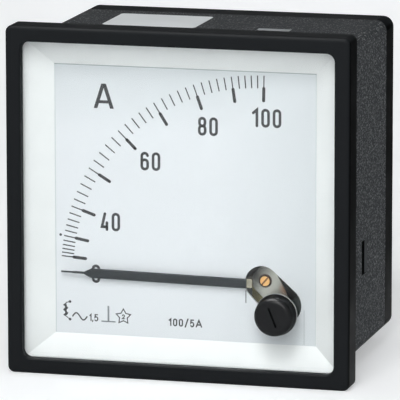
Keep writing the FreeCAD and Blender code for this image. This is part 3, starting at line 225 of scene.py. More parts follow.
def make_turned_group():
    """Rings round an axis along Y, as a lathe leaves them, and the distance from the axis."""
    sockets = [SCALE_INPUT, CENTRE_INPUT]
    group, entry, place = new_group("turned_rings", sockets, ["Height", "Radius"])
    values = {0: place, 1: entry["Centre"]}
    offset = add_node(group, "ShaderNodeVectorMath", values, operation="SUBTRACT")
    values = {0: offset.outputs[0], 1: (1, 0, 1)}
    flat = add_node(group, "ShaderNodeVectorMath", values, operation="MULTIPLY")
    length = add_node(group, "ShaderNodeVectorMath", {0: flat.outputs[0]}, operation="LENGTH")
    radius = length.outputs["Value"]
    stretched = math_node(group, "MULTIPLY", radius, entry["Scale"])
    values = {"W": stretched, "Scale": 1.0, "Detail": 2.0}
    rings = add_node(group, "ShaderNodeTexNoise", values, noise_dimensions="1D")
    return close_group(group, Height=rings.outputs[0], Radius=radius)


GRAIN = make_grain_group()
PATCHES = make_patches_group()
SCRATCHES = make_scratches_group()
SPECKS = make_specks_group()
TURNED = make_turned_group()
print("groups:", [group.name for group in (GRAIN, PATCHES, SCRATCHES, SPECKS, TURNED)])

# %% [markdown]
# ## Axes and planes
#
# The pointer axis and the adjuster's axis are the centres of the lathe rings on the turned
# pieces. They and the planes that the masks below need come from the CAD nodes.


# %% Axes and planes taken from the frame
def middle_of(node):
    low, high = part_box(node)
    return (low + high) / 2


def half_width(node):
    low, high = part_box(node)
    return (high.x - low.x) / 2


PIVOT = middle_of("front_bearing_screw")
ADJUSTER = middle_of("zero_adjuster")
DIAL_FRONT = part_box("dial_plate")[0].y
HOUSING_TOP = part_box("rear_cover")[1].z
HOUSING_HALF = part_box("rear_cover")[1].x
FRAME_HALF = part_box("front_bezel")[1].x
SCREW_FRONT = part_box("front_bearing_screw")[0].y
SCREW_RADIUS = half_width("front_bearing_screw")
KNOB_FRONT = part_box("zero_adjuster")[0].y
KNOB_RADIUS = half_width("zero_adjuster")
print("pointer axis at", tuple(round(value / MM, 2) for value in (PIVOT.x, PIVOT.z)))
print("dial front at", round(DIAL_FRONT / MM, 2))

# %% [markdown]
# ## Materials
#
# One function builds a material from a base colour and a roughness and adds the shared
# effects: patches change the roughness and, a little, the tone, while grain, scratches or
# lathe rings feed one bump. Another lays a second colour over a mask. The window is built
# apart, because its light paths need care.

# %% Material helpers
SHADER_SETTINGS = (
    ("Metallic", "metallic", 0.0),
    ("Specular IOR Level", "specular", 0.5),
    ("Coat Weight", "coat", 0.0),
)
RELIEFS = {"grain": GRAIN, "rings": TURNED, "scratches": SCRATCHES}
GLOSS_SPREAD = 0.06
WINDOW_TINT = screen_colour(254, 255, 255)
WINDOW_IOR = 1.36


def make_material(name, colour, roughness, **look):
    """A surface with a base colour as a screen shows it, uneven gloss and a small relief."""
    material = bpy.data.materials.new(name)
    material.use_nodes = True
    tree = material.node_tree
    shader = tree.nodes["Principled BSDF"]
    for socket, key, usual in SHADER_SETTINGS:
        shader.inputs[socket].default_value = look.get(key, usual)
    patches = use_group(tree, PATCHES, Scale=look.get("patch_scale", 60.0)).outputs[0]
    dullest = roughness + GLOSS_SPREAD
    gloss = ramp_between(tree, patches, 0.0, 1.0, roughness - GLOSS_SPREAD, dullest)
    tree.links.new(gloss, shader.inputs["Roughness"])
    full = screen_colour(*colour)
    shaded = tuple(channel * look.get("tone", 0.94) for channel in full[:3]) + (1.0,)
    tone = add_node(tree, "ShaderNodeMix", {0: patches, 6: shaded, 7: full}, data_type="RGBA")
    tree.links.new(tone.outputs[2], shader.inputs["Base Color"])
    for kind, group in RELIEFS.items():
        if kind in look:
            height = use_group(tree, group, Scale=look[kind])
            if group is TURNED:
                height.inputs["Centre"].default_value = PIVOT
            strength = look.get("bump", 0.2)
            depth = look.get("relief", 0.01) * MM
            values = {"Height": height.outputs[0], "Strength": strength, "Distance": depth}
            bump = add_node(tree, "ShaderNodeBump", values)
            tree.links.new(bump.outputs[0], shader.inputs["Normal"])
    return material


def lay_over(material, mask, colour):
    """Puts a second colour over the material's base colour where the mask is one."""
    tree = material.node_tree
    base = tree.nodes["Principled BSDF"].inputs["Base Color"]
    values = {0: mask, 6: base.links[0].from_socket, 7: screen_colour(*colour)}
    over = add_node(tree, "ShaderNodeMix", values, data_type="RGBA")
    tree.links.new(over.outputs[2], base)


def make_window_material():
    """Clear glass that lets light on to the dial without waiting for caustics."""
    material = bpy.data.materials.new("window_glass")
    material.use_nodes = True
    tree = material.node_tree
    shader = tree.nodes["Principled BSDF"]
    shader.inputs["Base Color"].default_value = WINDOW_TINT
    shader.inputs["Roughness"].default_value = 0.0
    shader.inputs["IOR"].default_value = WINDOW_IOR
    shader.inputs["Transmission Weight"].default_value = 1.0
    clear = add_node(tree, "ShaderNodeBsdfTransparent", {"Color": WINDOW_TINT})
    paths = add_node(tree, "ShaderNodeLightPath").outputs
    either = math_node(tree, "MAXIMUM", paths["Is Shadow Ray"], paths["Is Diffuse Ray"])
    values = {0: either, 1: shader.outputs[0], 2: clear.outputs[0]}
    mix = add_node(tree, "ShaderNodeMixShader", values)
    tree.links.new(mix.outputs[0], tree.nodes["Material Output"].inputs["Surface"])
    return material


print("material helpers ready")

# %% [markdown]
# ### The housing
#
# The mould of the housing was spark-eroded, so its outer faces carry fine pale specks,
# coarser ones on the flanks, and its top carries a little painted shade. The ramps of the
# four clamp recesses were ground, so they are smooth and shinier; the ramps on top carry a
# painted highlight, and painted shade darkens the foot of each ramp. A surface point
# belongs to a recess when it lies inside the outer faces and away from the corners.

# %% Housing plastic
RAMP_START = 0.07 * MM
RAMP_FOOT = 0.34 * MM
HOUSING_SKIN = 1.3 * MM
RECESS_INSET = 15.0 * MM
# Share of the painted shade on the top of the housing.
PAINTED_TOP_SHADE = 0.55
FINE_SPECKS = 2500.0
COARSE_SPECKS = 1500.0
RAMP_GLOSS = 0.22


def make_housing_material():
    """Grey plastic with pale specks and smooth recess ramps, with painted shade and highlight."""
    look = {"specular": 0.03, "patch_scale": 900.0, "tone": 0.8}
    relief = {"grain": 4200.0, "bump": 0.5, "relief": 0.04}
    material = make_material("housing_plastic", (78, 80, 82), 0.75, **look, **relief)
    tree = material.node_tree
    x, _, z = object_axes(tree)
    wide = math_node(tree, "ABSOLUTE", x, 0.0)
    tall = math_node(tree, "ABSOLUTE", z, 0.0)
    outward = math_node(tree, "MAXIMUM", wide, tall)
    sideways = math_node(tree, "MINIMUM", wide, tall)
    inside = math_node(tree, "LESS_THAN", outward, HOUSING_HALF - RAMP_START)
    away = math_node(tree, "LESS_THAN", sideways, HOUSING_HALF - RECESS_INSET)
    recess = math_node(tree, "MULTIPLY", inside, away)
    deep = math_node(tree, "LESS_THAN", outward, HOUSING_HALF - RAMP_FOOT)
    foot = math_node(tree, "MULTIPLY", recess, deep)
    upper = math_node(tree, "GREATER_THAN", z, HOUSING_HALF - HOUSING_SKIN)
    flank = math_node(tree, "GREATER_THAN", wide, HOUSING_HALF - HOUSING_SKIN)
    fine = use_group(tree, SPECKS, Scale=FINE_SPECKS).outputs[0]
    coarse = use_group(tree, SPECKS, Scale=COARSE_SPECKS).outputs[0]
    for mask, colour in (
        (fine, (232, 234, 235)),
        (math_node(tree, "MULTIPLY", coarse, flank), (214, 217, 219)),
        # Painted shade darkens the top.
        (math_node(tree, "MULTIPLY", upper, PAINTED_TOP_SHADE), (56, 58, 60)),
        (recess, (92, 94, 96)),
        # Painted highlight on the ramps of the top recesses.
        (math_node(tree, "MULTIPLY", recess, upper), (158, 161, 163)),
        # Painted shade at the foot of each ramp.
        (foot, (6, 6, 6)),
    ):
        lay_over(material, mask, colour)
    shader = tree.nodes["Principled BSDF"]
    shader.inputs["Coat Roughness"].default_value = RAMP_GLOSS
    sheen = math_node(tree, "SUBTRACT", recess, foot)
    tree.links.new(sheen, shader.inputs["Coat Weight"])
    return material


print("recess inset", round(RECESS_INSET / MM, 1), "mm")

# %% [markdown]
# ### The lever and the bearing screw
#
# The lever is a stamped disc with an arm. A painted dark reflection darkens it towards its
# upper left, painted shade darkens it round the screw hole, and its arm carries a painted
# reddish reflection. The brass screw is bright on its face and has painted shade in its slot.

# %% Lever and screw metals
HOLE_SHADE = (58, 38, 26)
LEVER_HOLE = (0.28 * MM, 0.52 * MM)
BRIDGE_HOLE = (0.4 * MM, 0.8 * MM)
# Painted dark reflection towards the upper left of the lever.
DARK_REFLECTION_RIGHT = 0.8
DARK_REFLECTION_DOWN = 0.6
DARK_REFLECTION_FROM = -2.9 * MM
DARK_REFLECTION_TO = 1.0 * MM
# Painted reddish reflection on the arm of the lever.
REDDISH_REFLECTION_SHIFT = Vector((4.2, 0.0, -1.5)) * MM
REDDISH_REFLECTION_CORE = 0.5 * MM
REDDISH_REFLECTION_RADIUS = 1.6 * MM
SLOT_FROM = 0.06 * MM
SLOT_TO = 0.2 * MM


def distance_from(tree, centre):
    """The distance from an axis along Y."""
    return use_group(tree, TURNED, Centre=centre).outputs["Radius"]


def shade_round_screw(material, hole):
    """Darkens the surface round the bearing screw, as the shadow in a hole does."""
    tree = material.node_tree
    inner, outer = (SCREW_RADIUS + reach for reach in hole)
    shade = ramp_between(tree, distance_from(tree, PIVOT), inner, outer, 1.0, 0.0)
    lay_over(material, shade, HOLE_SHADE)


def make_lever_material():
    """Bright steel with painted shade round the hole and painted dark and reddish reflections."""
    relief = {"rings": 9000.0, "bump": 0.25}
    material = make_material("lever_steel", (176, 177, 168), 0.36, metallic=1.0, **relief)
    tree = material.node_tree
    x, _, z = object_axes(tree)
    right = math_node(tree, "SUBTRACT", x, PIVOT.x)
    down = math_node(tree, "SUBTRACT", PIVOT.z, z)
    right = math_node(tree, "MULTIPLY", right, DARK_REFLECTION_RIGHT)
    down = math_node(tree, "MULTIPLY", down, DARK_REFLECTION_DOWN)
    along = math_node(tree, "ADD", right, down)
    # Painted dark reflection towards the upper left.
    dark_reflection = ramp_between(tree, along, DARK_REFLECTION_FROM, DARK_REFLECTION_TO, 1.0, 0.0)
    lay_over(material, dark_reflection, (48, 50, 50))
    # Painted reddish reflection on the arm.
    reach = distance_from(tree, PIVOT + REDDISH_REFLECTION_SHIFT)
    reddish_reflection = ramp_between(tree, reach, REDDISH_REFLECTION_CORE, REDDISH_REFLECTION_RADIUS, 1.0, 0.0)
    lay_over(material, reddish_reflection, (188, 156, 134))
    shade_round_screw(material, LEVER_HOLE)
    return material


def make_bridge_material():
    """Yellow passivation, with painted shade under the screw."""
    look = {"metallic": 0.85, "tone": 0.7, "patch_scale": 500.0, "scratches": 900.0}
    material = make_material("bridge_passivation", (128, 122, 78), 0.42, **look)
    shade_round_screw(material, BRIDGE_HOLE)
    return material


def make_screw_material():
    """Turned brass, with painted shade in the slot."""
    relief = {"rings": 8000.0, "bump": 0.3}
    material = make_material("screw_brass", (240, 190, 122), 0.34, metallic=1.0, **relief)
    tree = material.node_tree
    depth = object_axes(tree)[1]
    # Painted shade inside the slot.
    slot = ramp_between(tree, depth, SCREW_FRONT + SLOT_FROM, SCREW_FRONT + SLOT_TO)
    lay_over(material, slot, (132, 90, 52))
    return material


print("lacquer patch", tuple(round(value / MM, 1) for value in REDDISH_REFLECTION_SHIFT), "from the axis")

# %% [markdown]
# ### Plastics and dial
#
# The knob is polished on its front and has a painted highlight on the rim at its foot.
# The frame and the cover carry painted shade on their left and right sides. The dial
# carries painted shade towards the top and the right.

# %% Knob, mouldings and dial
POLISH_DEPTH = 0.9 * MM
POLISH_END = 1.4 * MM
KNOB_POLISH = 0.36
KNOB_GLOSS = 0.26
RIM_START = 0.09 * MM
RIM_END = 0.04 * MM
FLANK_EDGE = 0.35 * MM
FLANK_SKIN = 0.1 * MM
SHADE_TOWARDS_TOP = (14 * MM, 29 * MM, 0.0, 0.6)
SHADE_TOWARDS_RIGHT = (6 * MM, 29 * MM, 0.0, 0.45)


def make_knob_material():
    """Black plastic, polished on its front, with a painted highlight on the thin rim at its foot.
    """
    look = {"specular": 0.03, "grain": 9000.0, "bump": 0.06}
    material = make_material("adjuster_plastic", (15, 16, 18), 0.5, **look)
    tree = material.node_tree
    depth = object_axes(tree)[1]
    start, end = KNOB_FRONT + POLISH_DEPTH, KNOB_FRONT + POLISH_END
    polish = ramp_between(tree, depth, start, end, KNOB_POLISH, 0.0)
    shader = tree.nodes["Principled BSDF"]
    shader.inputs["Coat Roughness"].default_value = KNOB_GLOSS
    tree.links.new(polish, shader.inputs["Coat Weight"])
    # Painted highlight on the thin rim at the foot.
    inner, outer = KNOB_RADIUS - RIM_START, KNOB_RADIUS - RIM_END
    rim = ramp_between(tree, distance_from(tree, ADJUSTER), inner, outer)
    lay_over(material, rim, (176, 178, 178))
    return material


def make_moulding_material(name, colour, half, **look):
    """Black plastic with painted shade on its left and right sides, half a width from the middle.
    """
    material = make_material(name, colour, 0.5, **look)
    tree = material.node_tree
    wide = math_node(tree, "ABSOLUTE", object_axes(tree)[0], 0.0)
    # Painted shade on the left and right sides.
    flank = ramp_between(tree, wide, half - FLANK_EDGE, half - FLANK_SKIN)
    lay_over(material, flank, (9, 10, 11))
    return material


def make_dial_material():
    """White dial finish with painted shade towards the top and the right."""
    look = {"tone": 0.985, "grain": 6000.0, "bump": 0.05}
    material = make_material("dial_lacquer", (231, 234, 237), 0.55, **look)
    tree = material.node_tree
    x, _, z = object_axes(tree)
    # Painted shade towards the top and the right.
    top = ramp_between(tree, z, *SHADE_TOWARDS_TOP)
    right = ramp_between(tree, x, *SHADE_TOWARDS_RIGHT)
    lay_over(material, math_node(tree, "MAXIMUM", top, right), (196, 203, 205))
    return material


def make_ink(name, colour):
    """A thin matt layer of print."""
    return make_material(name, colour, 0.6, grain=9000.0, bump=0.05, relief=0.005)


print("knob radius", round(KNOB_RADIUS / MM, 2))

# %% [markdown]
# Each material slot of the frame has one look, and six nodes have a look of their own. The
# inner frame is duller than the outer mouldings, and the coil former is greyish nylon.

# %% Materials of the meter
LOOKS = {
    "black_frame": make_moulding_material(
        "frame_plastic", (28, 30, 32), FRAME_HALF, specular=0.045, grain=9000.0, bump=0.12
    ),
    "grey_housing": make_housing_material(),
    "black_cover": make_moulding_material(
        "cover_plastic", (27, 29, 31), HOUSING_HALF, specular=0.03, grain=7000.0, bump=0.1
    ),
    "black_inner": make_material("inner_plastic", (52, 57, 57), 0.5, grain=5000.0, relief=0.02),
    "clear_glass": make_window_material(),
    "white_surround": make_material(
        "surround_plastic", (243, 245, 244), 0.5, grain=8000.0, bump=0.06
    ),
    "steel": make_material(
        "bright_steel", (168, 167, 156), 0.38, metallic=1.0, rings=9000.0, bump=0.25
    ),
    "brass": make_material(
        "turned_brass", (240, 190, 122), 0.34, metallic=1.0, rings=8000.0, bump=0.3
    ),
    "copper_wire": make_material(
        "enamelled_copper", (190, 104, 60), 0.3, metallic=0.9, coat=0.5, scratches=700.0
    ),
    "bronze": make_material(
        "spring_bronze", (205, 142, 84), 0.3, metallic=1.0, scratches=2000.0, bump=0.1, relief=0.02
    ),
    "aluminium": make_material(
        "soft_aluminium", (148, 144, 128), 0.42, metallic=1.0, scratches=1500.0
    ),
    "magnet": make_material(
        "ground_magnet", (70, 70, 72), 0.45, metallic=0.8, scratches=1200.0, bump=0.4
    ),
    "black_paint": make_material(
        "pointer_paint", (26, 34, 38), 0.46, specular=0.12, grain=9000.0, bump=0.08
    ),
}
OWN_LOOKS = {
    "zero_lever": make_lever_material(),
    "front_bearing_screw": make_screw_material(),
    "bearing_bridge": make_bridge_material(),
    "zero_adjuster": make_knob_material(),
    "dial_plate": make_dial_material(),
    "coil_former": make_material("coil_plastic", (124, 140, 136), 0.6, grain=4000.0, relief=0.02),
}
INK = make_ink("dial_ink", (30, 33, 36))
GREY_INK = make_ink("thin_ink", (128, 134, 138))
# Pale grey painted shade over the right slit.
SLIT_SHADE_PALE = make_ink("pale_slit_shade", (206, 211, 213))
TOP_SHADE = make_ink("joint_shade", (168, 177, 178))
SIDE_SHADE = make_ink("faint_joint_shade", (210, 217, 218))
LABEL_FOIL = make_material("label_foil", (236, 240, 241), 0.55, scratches=400.0, bump=0.1)

slot_of = {row["node"]: row["material_slot"] for row in frame["record"]["subparts"]}
for node, item in frame["nodes"].items():
    look = OWN_LOOKS[node] if node in OWN_LOOKS else LOOKS[slot_of[node]]
    if item.material_slots:
        for place in item.material_slots:
            place.material = look
    else:
        item.data.materials.append(look)
print("materials on the frame:", len(LOOKS) + len(OWN_LOOKS))

# %% [markdown]
# ## Placing pieces
#
# Every new piece is drawn as a bmesh in metres, in the frame's axes, and stays with the
# case. The camera, the lights and the studio's sheets are only linked to the scene.


# %% Placing functions
def link_object(name, data):
    """A new object of the scene."""
    item = bpy.data.objects.new(name, data)
    bpy.context.scene.collection.objects.link(item)
    return item


def link_mesh(mesh, name, *materials):
    """Turns a bmesh into an object of the scene."""
    data = bpy.data.meshes.new(name)
    mesh.to_mesh(data)
    mesh.free()
    for material in materials:
        data.materials.append(material)
    return link_object(name, data)


def place_on_case(mesh, name, material):
    """Turns a bmesh into a piece that stays with the case."""
    item = link_mesh(mesh, name, material)
    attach(item, "case")
    return item


print("placing functions ready")

# %% [markdown]
# ## Drawing with a pen
#
# The print on the dial is engineering lettering: strokes of one width with round ends. A
# pen function turns a line of points into a flat ribbon, mitred at each bend, that lies
# just in front of the dial. All coordinates are millimetres on the dial.

# %% Pen functions
PRINT_LIFT = 0.008
PRINT_PLANE = DIAL_FRONT / MM - PRINT_LIFT
LEAST_SQUEEZE = 0.35
END_STEPS = 14


def point_at(centre, radius, degrees):
    """The point at a distance and an angle from a centre."""
    angle = math.radians(degrees)
    return (centre[0] + radius * math.cos(angle), centre[1] + radius * math.sin(angle))


def arc_points(centre, radius, start, end, steps=10):
    """Points on a circular arc, with angles in degrees."""
    angles = (start + (end - start) * step / steps for step in range(steps + 1))
    return [point_at(centre, radius, angle) for angle in angles]


def cubic_between(a, b, c, d, t):
    """A smooth curve through four values, at the share t of the way from b to c."""
    value = 2 * b + (c - a) * t + (2 * a - 5 * b + 4 * c - d) * t * t
    return (value + (3 * b - a - 3 * c + d) * t * t * t) / 2


def smooth_points(points, steps=5):
    """A smooth curve through all the points."""
    padded = [points[0]] + list(points) + [points[-1]]
    smooth = []
    for index in range(1, len(padded) - 2):
        corners = [Vector(padded[index + shift]) for shift in (-1, 0, 1, 2)]
        for step in range(steps):
            smooth.append(tuple(cubic_between(*corners, step / steps)))
    smooth.append(tuple(points[-1]))
    return smooth


def moved(points, centre):
    """The points with their origin at the centre."""
    return [(centre[0] + x, centre[1] + z) for x, z in points]


def add_face(mesh, points):
    """One flat face on the dial that faces the reader, whichever way its points run."""
    area = 0.0
    for here, there in zip(points, list(points[1:]) + [points[0]]):
        area += here[0] * there[1] - there[0] * here[1]
    if area < 0:
        points = list(reversed(points))
    corners = [mesh.verts.new((x * MM, PRINT_PLANE * MM, z * MM)) for x, z in points]
    mesh.faces.new(corners)


def add_disc(mesh, centre, radius, steps=20):
    add_face(mesh, arc_points(centre, radius, 0, 360 - 360 / steps, steps - 1))


def add_stroke(mesh, points, width, closed=False, round_ends=True):
    """A ribbon of one width along the points, with mitred bends and straight open ends."""
    line = [Vector(point) for point in points]
    count = len(line)
    left, right = [], []
    for index, point in enumerate(line):
        before = line[index - 1] if closed or index > 0 else 2 * point - line[1]
        after = line[(index + 1) % count] if closed or index < count - 1 else 2 * point - line[-2]
        into = (point - before).normalized()
        along = (into + (after - point).normalized()).normalized()
        across = Vector((-along.y, along.x))
        squeeze = max(LEAST_SQUEEZE, along.dot(into))
        offset = across * (width / 2 / squeeze)
        left.append(point + offset)
        right.append(point - offset)
    for index in range(count if closed else count - 1):
        after = (index + 1) % count
        add_face(mesh, [right[index], right[after], left[after], left[index]])
    if round_ends and not closed:
        add_disc(mesh, line[0], width / 2, END_STEPS)
        add_disc(mesh, line[-1], width / 2, END_STEPS)


def finish_print(mesh, name, material):
    """Turns the drawn faces into a piece of the print."""
    place_on_case(mesh, name, material)


def draw_lines(name, lines, width, material):
    """One piece of print made of lines with square ends."""
    mesh = bmesh.new()
    for line in lines:
        add_stroke(mesh, line, width, round_ends=False)
    finish_print(mesh, name, material)


print("print plane at", round(PRINT_PLANE, 3), "mm")

# %% [markdown]
# ## Glyphs
#
# Each glyph is a few strokes in a box, measured between the middles of the strokes, with
# its centre at the origin. The listed points are shares of the box's width and height.


# %% Glyph strokes
STRAIGHT_SIGNS = {
    "1": [[(-0.62, 0.3), (0, 0.5), (0, -0.5)]],
    "4": [[(0.05, 0.5), (-0.46, -0.33), (0.4, -0.33)], [(0.38, -0.06), (0.38, -0.5)]],
    "/": [[(-0.5, -0.62), (0.5, 0.62)]],
    ",": [[(0.02, -0.46), (-0.12, -0.66)]],
    "A": [[(-0.5, -0.5), (0, 0.5), (0.5, -0.5)], [(-0.34, -0.2), (0.34, -0.2)]],
}
TWO_BOW = [(-0.45, 0.27), (-0.3, 0.45), (0, 0.5), (0.34, 0.42), (0.45, 0.2), (0.28, -0.06)]
TWO_FOOT = [(-0.45, -0.5), (0.5, -0.5)]
FIVE_HEAD = [(0.42, 0.5), (-0.36, 0.5)]
FIVE_BOW = [(-0.45, 0.04), (-0.2, 0.13), (0.12, 0.13), (0.42, 0.0), (0.5, -0.18)]
FIVE_BOW += [(0.42, -0.38), (0.14, -0.5), (-0.2, -0.5), (-0.46, -0.38)]
SIX_HOOK = 12
SIX_WAIST = 0.09
EIGHT_NARROW = 0.92
EIGHT_WAIST = 0.02


def ring_glyph(wide, low, high):
    """A closed loop with straight sides and round ends."""
    radius = wide / 2
    top = arc_points((0, high - radius), radius, 0, 180)
    bottom = arc_points((0, low + radius), radius, 180, 360)
    return top + bottom


def glyph_strokes(sign, wide, tall):
    """(points, closed) for each stroke of a sign."""
    radius, half = wide / 2, tall / 2

    def scaled(points):
        return [(x * wide, z * tall) for x, z in points]

    if sign in STRAIGHT_SIGNS:
        return [(scaled(points), False) for points in STRAIGHT_SIGNS[sign]]
    if sign == "0":
        return [(ring_glyph(wide, -half, half), True)]
    if sign == "2":
        return [(smooth_points(scaled(TWO_BOW)) + scaled(TWO_FOOT), False)]
    if sign == "5":
        return [(scaled(FIVE_HEAD) + smooth_points(scaled(FIVE_BOW)), False)]
    if sign == "6":
        hook = arc_points((0, half - radius), radius, SIX_HOOK, 180)
        bottom = arc_points((0, radius - half), radius, 180, 360)
        loop = arc_points((0, SIX_WAIST * tall - radius), radius, 0, 180)
        return [(hook + bottom + loop, False)]
    if sign == "8":
        upper = ring_glyph(wide * EIGHT_NARROW, EIGHT_WAIST * tall, half)
        lower = ring_glyph(wide, -half, EIGHT_WAIST * tall)
        return [(upper, True), (lower, True)]
    raise ValueError(f"no strokes for {sign}")


def write_row(mesh, row, centre, tall, pen):
    """Draws signs in a row, each with its shift from the centre and its outer width."""
    for sign, shift, wide in row:
        place = (centre[0] + shift, centre[1])
        for points, closed in glyph_strokes(sign, wide - pen, tall - pen):
            add_stroke(mesh, moved(points, place), pen, closed)


print("signs ready:", "0 1 2 4 5 6 8 / , A")

# %% [markdown]
# ## The scale
#
# A moving-iron scale is not even: it is crowded below 20 and opens out towards the
# middle. The angles of the tens are listed and the divisions of 2 lie on a smooth curve
# between them. Each ten has a thin line with a thick, round inner half.

# %% Scale marks
SCALE_CENTRE = (16.18, -15.38)
SCALE_OUTER = 42.25
MINOR_INNER = 39.65
MAJOR_INNER = 37.15
THIN_PEN = 0.25
THICK_PEN = 0.64
FIRST_BEND = 1.5
DOT_ANGLE = 10.1
DOT_REACH = 43.0
DOT_RADIUS = 0.28
DIVISIONS = range(20, 101, 2)
TENS = range(20, 101, 10)
ANGLES_OF_TENS = dict(zip(TENS, (4.3, 10.1, 18.8, 30.9, 44.7, 57.8, 70.4, 81.5, 90.8)))


def scale_angle(value):
    """The angle above the rest direction for a value, on a smooth curve through the tens."""
    if value in TENS:
        return ANGLES_OF_TENS[value]
    low = max(ten for ten in TENS if ten <= value)
    b, c = ANGLES_OF_TENS[low], ANGLES_OF_TENS[low + 10]
    a = ANGLES_OF_TENS.get(low - 10, 2 * b - c + FIRST_BEND)
    d = ANGLES_OF_TENS.get(low + 20, 2 * c - b)
    return cubic_between(a, b, c, d, (value - low) / 10)


def on_scale(angle, radius):
    """A point at an angle above the rest direction and a distance from the scale's centre."""
    return point_at(SCALE_CENTRE, radius, 180 - angle)


marks = bmesh.new()
for value in DIVISIONS:
    angle = scale_angle(value)
    inner = on_scale(angle, MINOR_INNER)
    add_stroke(marks, [on_scale(angle, SCALE_OUTER), inner], THIN_PEN, round_ends=False)
    if value in TENS:
        add_stroke(marks, [inner, on_scale(angle, MAJOR_INNER)], THICK_PEN)
add_disc(marks, on_scale(DOT_ANGLE, DOT_REACH), DOT_RADIUS)
finish_print(marks, "scale_marks", INK)
print("scale marks:", len(DIVISIONS))

# %% [markdown]
# ## Numbers, the unit and the ratio
#
# The numbers are narrow and tall. The zero stands behind the pointer at rest, so only the
# top and bottom of its loop show.

# %% Numbers
NUMBER_TALL = 3.85
NUMBER_WIDE = 1.8
NUMBER_PEN = 0.56
NUMBER_STEP = 2.38
ONE_STEP = 1.81
NUMBERS = [
    ("0", (-18.66, -15.64)),
    ("40", (-15.58, -4.67)),
    ("60", (-7.04, 8.26)),
    ("80", (5.07, 15.99)),
]
HUNDRED_PLACE = (15.3, 18.21)
HUNDRED_SIGNS = [
    ("1", 0.0, NUMBER_WIDE),
    ("0", ONE_STEP, NUMBER_WIDE),
    ("0", ONE_STEP + NUMBER_STEP, NUMBER_WIDE),
]

numbers = bmesh.new()
for text, centre in NUMBERS:
    first = -NUMBER_STEP * (len(text) - 1) / 2
    row = [(sign, first + NUMBER_STEP * index, NUMBER_WIDE) for index, sign in enumerate(text)]
    write_row(numbers, row, centre, NUMBER_TALL, NUMBER_PEN)
write_row(numbers, HUNDRED_SIGNS, HUNDRED_PLACE, NUMBER_TALL, NUMBER_PEN)
finish_print(numbers, "scale_numbers", INK)
print("numbers:", [text for text, _ in NUMBERS] + ["100"])

# %% Unit letter and current ratio
UNIT_CENTRE = (-16.86, 21.31)
UNIT_TALL = 5.1
UNIT_FOOT = 1.75
UNIT_PEN = 0.78
UNIT_APEX = 0.1
BAR_RISE = 1.05
BAR_TALL = 0.62
BAR_HALF = 1.3
BAR_TAPER = 0.2
RATIO_CENTRE = (0.3, -24.92)
RATIO_TALL = 1.62
RATIO_PEN = 0.29
RATIO_SIGNS = [("1", -3.1, 0.8), ("0", -2.18, 0.92), ("0", -0.95, 0.92)]
RATIO_SIGNS += [("/", 0.25, 0.85), ("5", 1.42, 0.9), ("A", 2.85, 1.4)]

unit = bmesh.new()
half_tall, half_pen = UNIT_TALL / 2, UNIT_PEN / 2
for side in (-1, 1):
    leg = [
        (side * (UNIT_FOOT + half_pen), -half_tall),
        (side * (UNIT_FOOT - half_pen), -half_tall),
        (side * (UNIT_APEX - half_pen), half_tall),
        (side * (UNIT_APEX + half_pen), half_tall),
    ]
    add_face(unit, moved(leg, UNIT_CENTRE))
bar_low = BAR_RISE - half_tall
bar_high = bar_low + BAR_TALL
bar_top = BAR_HALF - BAR_TAPER
bar = [(-BAR_HALF, bar_low), (BAR_HALF, bar_low), (bar_top, bar_high), (-bar_top, bar_high)]
add_face(unit, moved(bar, UNIT_CENTRE))
finish_print(unit, "unit_letter", INK)

ratio = bmesh.new()
write_row(ratio, RATIO_SIGNS, RATIO_CENTRE, RATIO_TALL, RATIO_PEN)
finish_print(ratio, "current_ratio", INK)
print("print so far: marks, numbers, unit, ratio")

# %% [markdown]
# ## Standard symbols
#
# In the lower left corner stand, from left to right, the moving-iron coil, the wave for
# alternating current, the accuracy class, the upright mounting position and the star with
# the test voltage.

# %% Dial symbols
COIL_OUTLINE = [(0.0, 1.52), (-0.16, 0.87), (-0.69, 0.74), (-0.27, 0.4), (-0.25, 0.11)]
COIL_OUTLINE += [(-0.69, -0.29), (-0.29, -0.63), (-0.22, -0.92), (-0.67, -1.34), (-0.36, -1.55)]
COIL_OUTLINE += [(0.07, -1.41), (0.45, -0.92), (0.13, -0.63), (0.06, -0.29), (0.13, 0.0)]
COIL_OUTLINE += [(0.45, 0.16), (0.13, 0.47), (0.06, 0.87)]
COIL_SPINE = [(-0.1, 1.2), (-0.12, 0.4), (-0.1, -0.4), (-0.1, -1.2)]
COIL_LEADS = [[(0.8, 1.5), (0.0, 1.25)], [(0.8, -2.2), (-0.35, -1.4)]]
COIL_CENTRE = (-25.05, -23.25)
LEAD_PEN = 0.17
WAVE_CENTRE = (-22.15, -24.75)
WAVE_LENGTH = 3.05
WAVE_HEIGHT = 0.72
WAVE_STEPS = 24
SYMBOL_PEN = 0.28
CLASS_CENTRE = (-19.15, -24.85)
CLASS_TALL = 1.5
CLASS_PEN = 0.24
CLASS_SIGNS = [("1", -0.62, 0.6), (",", -0.25, 0.6), ("5", 0.5, 0.85)]
STAR_CENTRE = (-12.86, -24.31)
STAR_CORNERS = 10
STAR_OUTER = 1.6
STAR_INNER = 0.86
STAR_PEN = 0.22
TEST_CENTRE = (-12.86, -24.34)
TEST_TALL = 1.0
TEST_SIGNS = [("2", 0.0, 0.68)]
POST_X = -16.05
POST_LOW = -25.6
POST_HIGH = -22.25
POST_PEN = 0.38
BASE_HALF = 1.5
BASE_LIFT = 0.1


def nearest(points, place):
    """The one of the points that lies closest to a place."""
    return min(points, key=lambda point: math.dist(point, place))


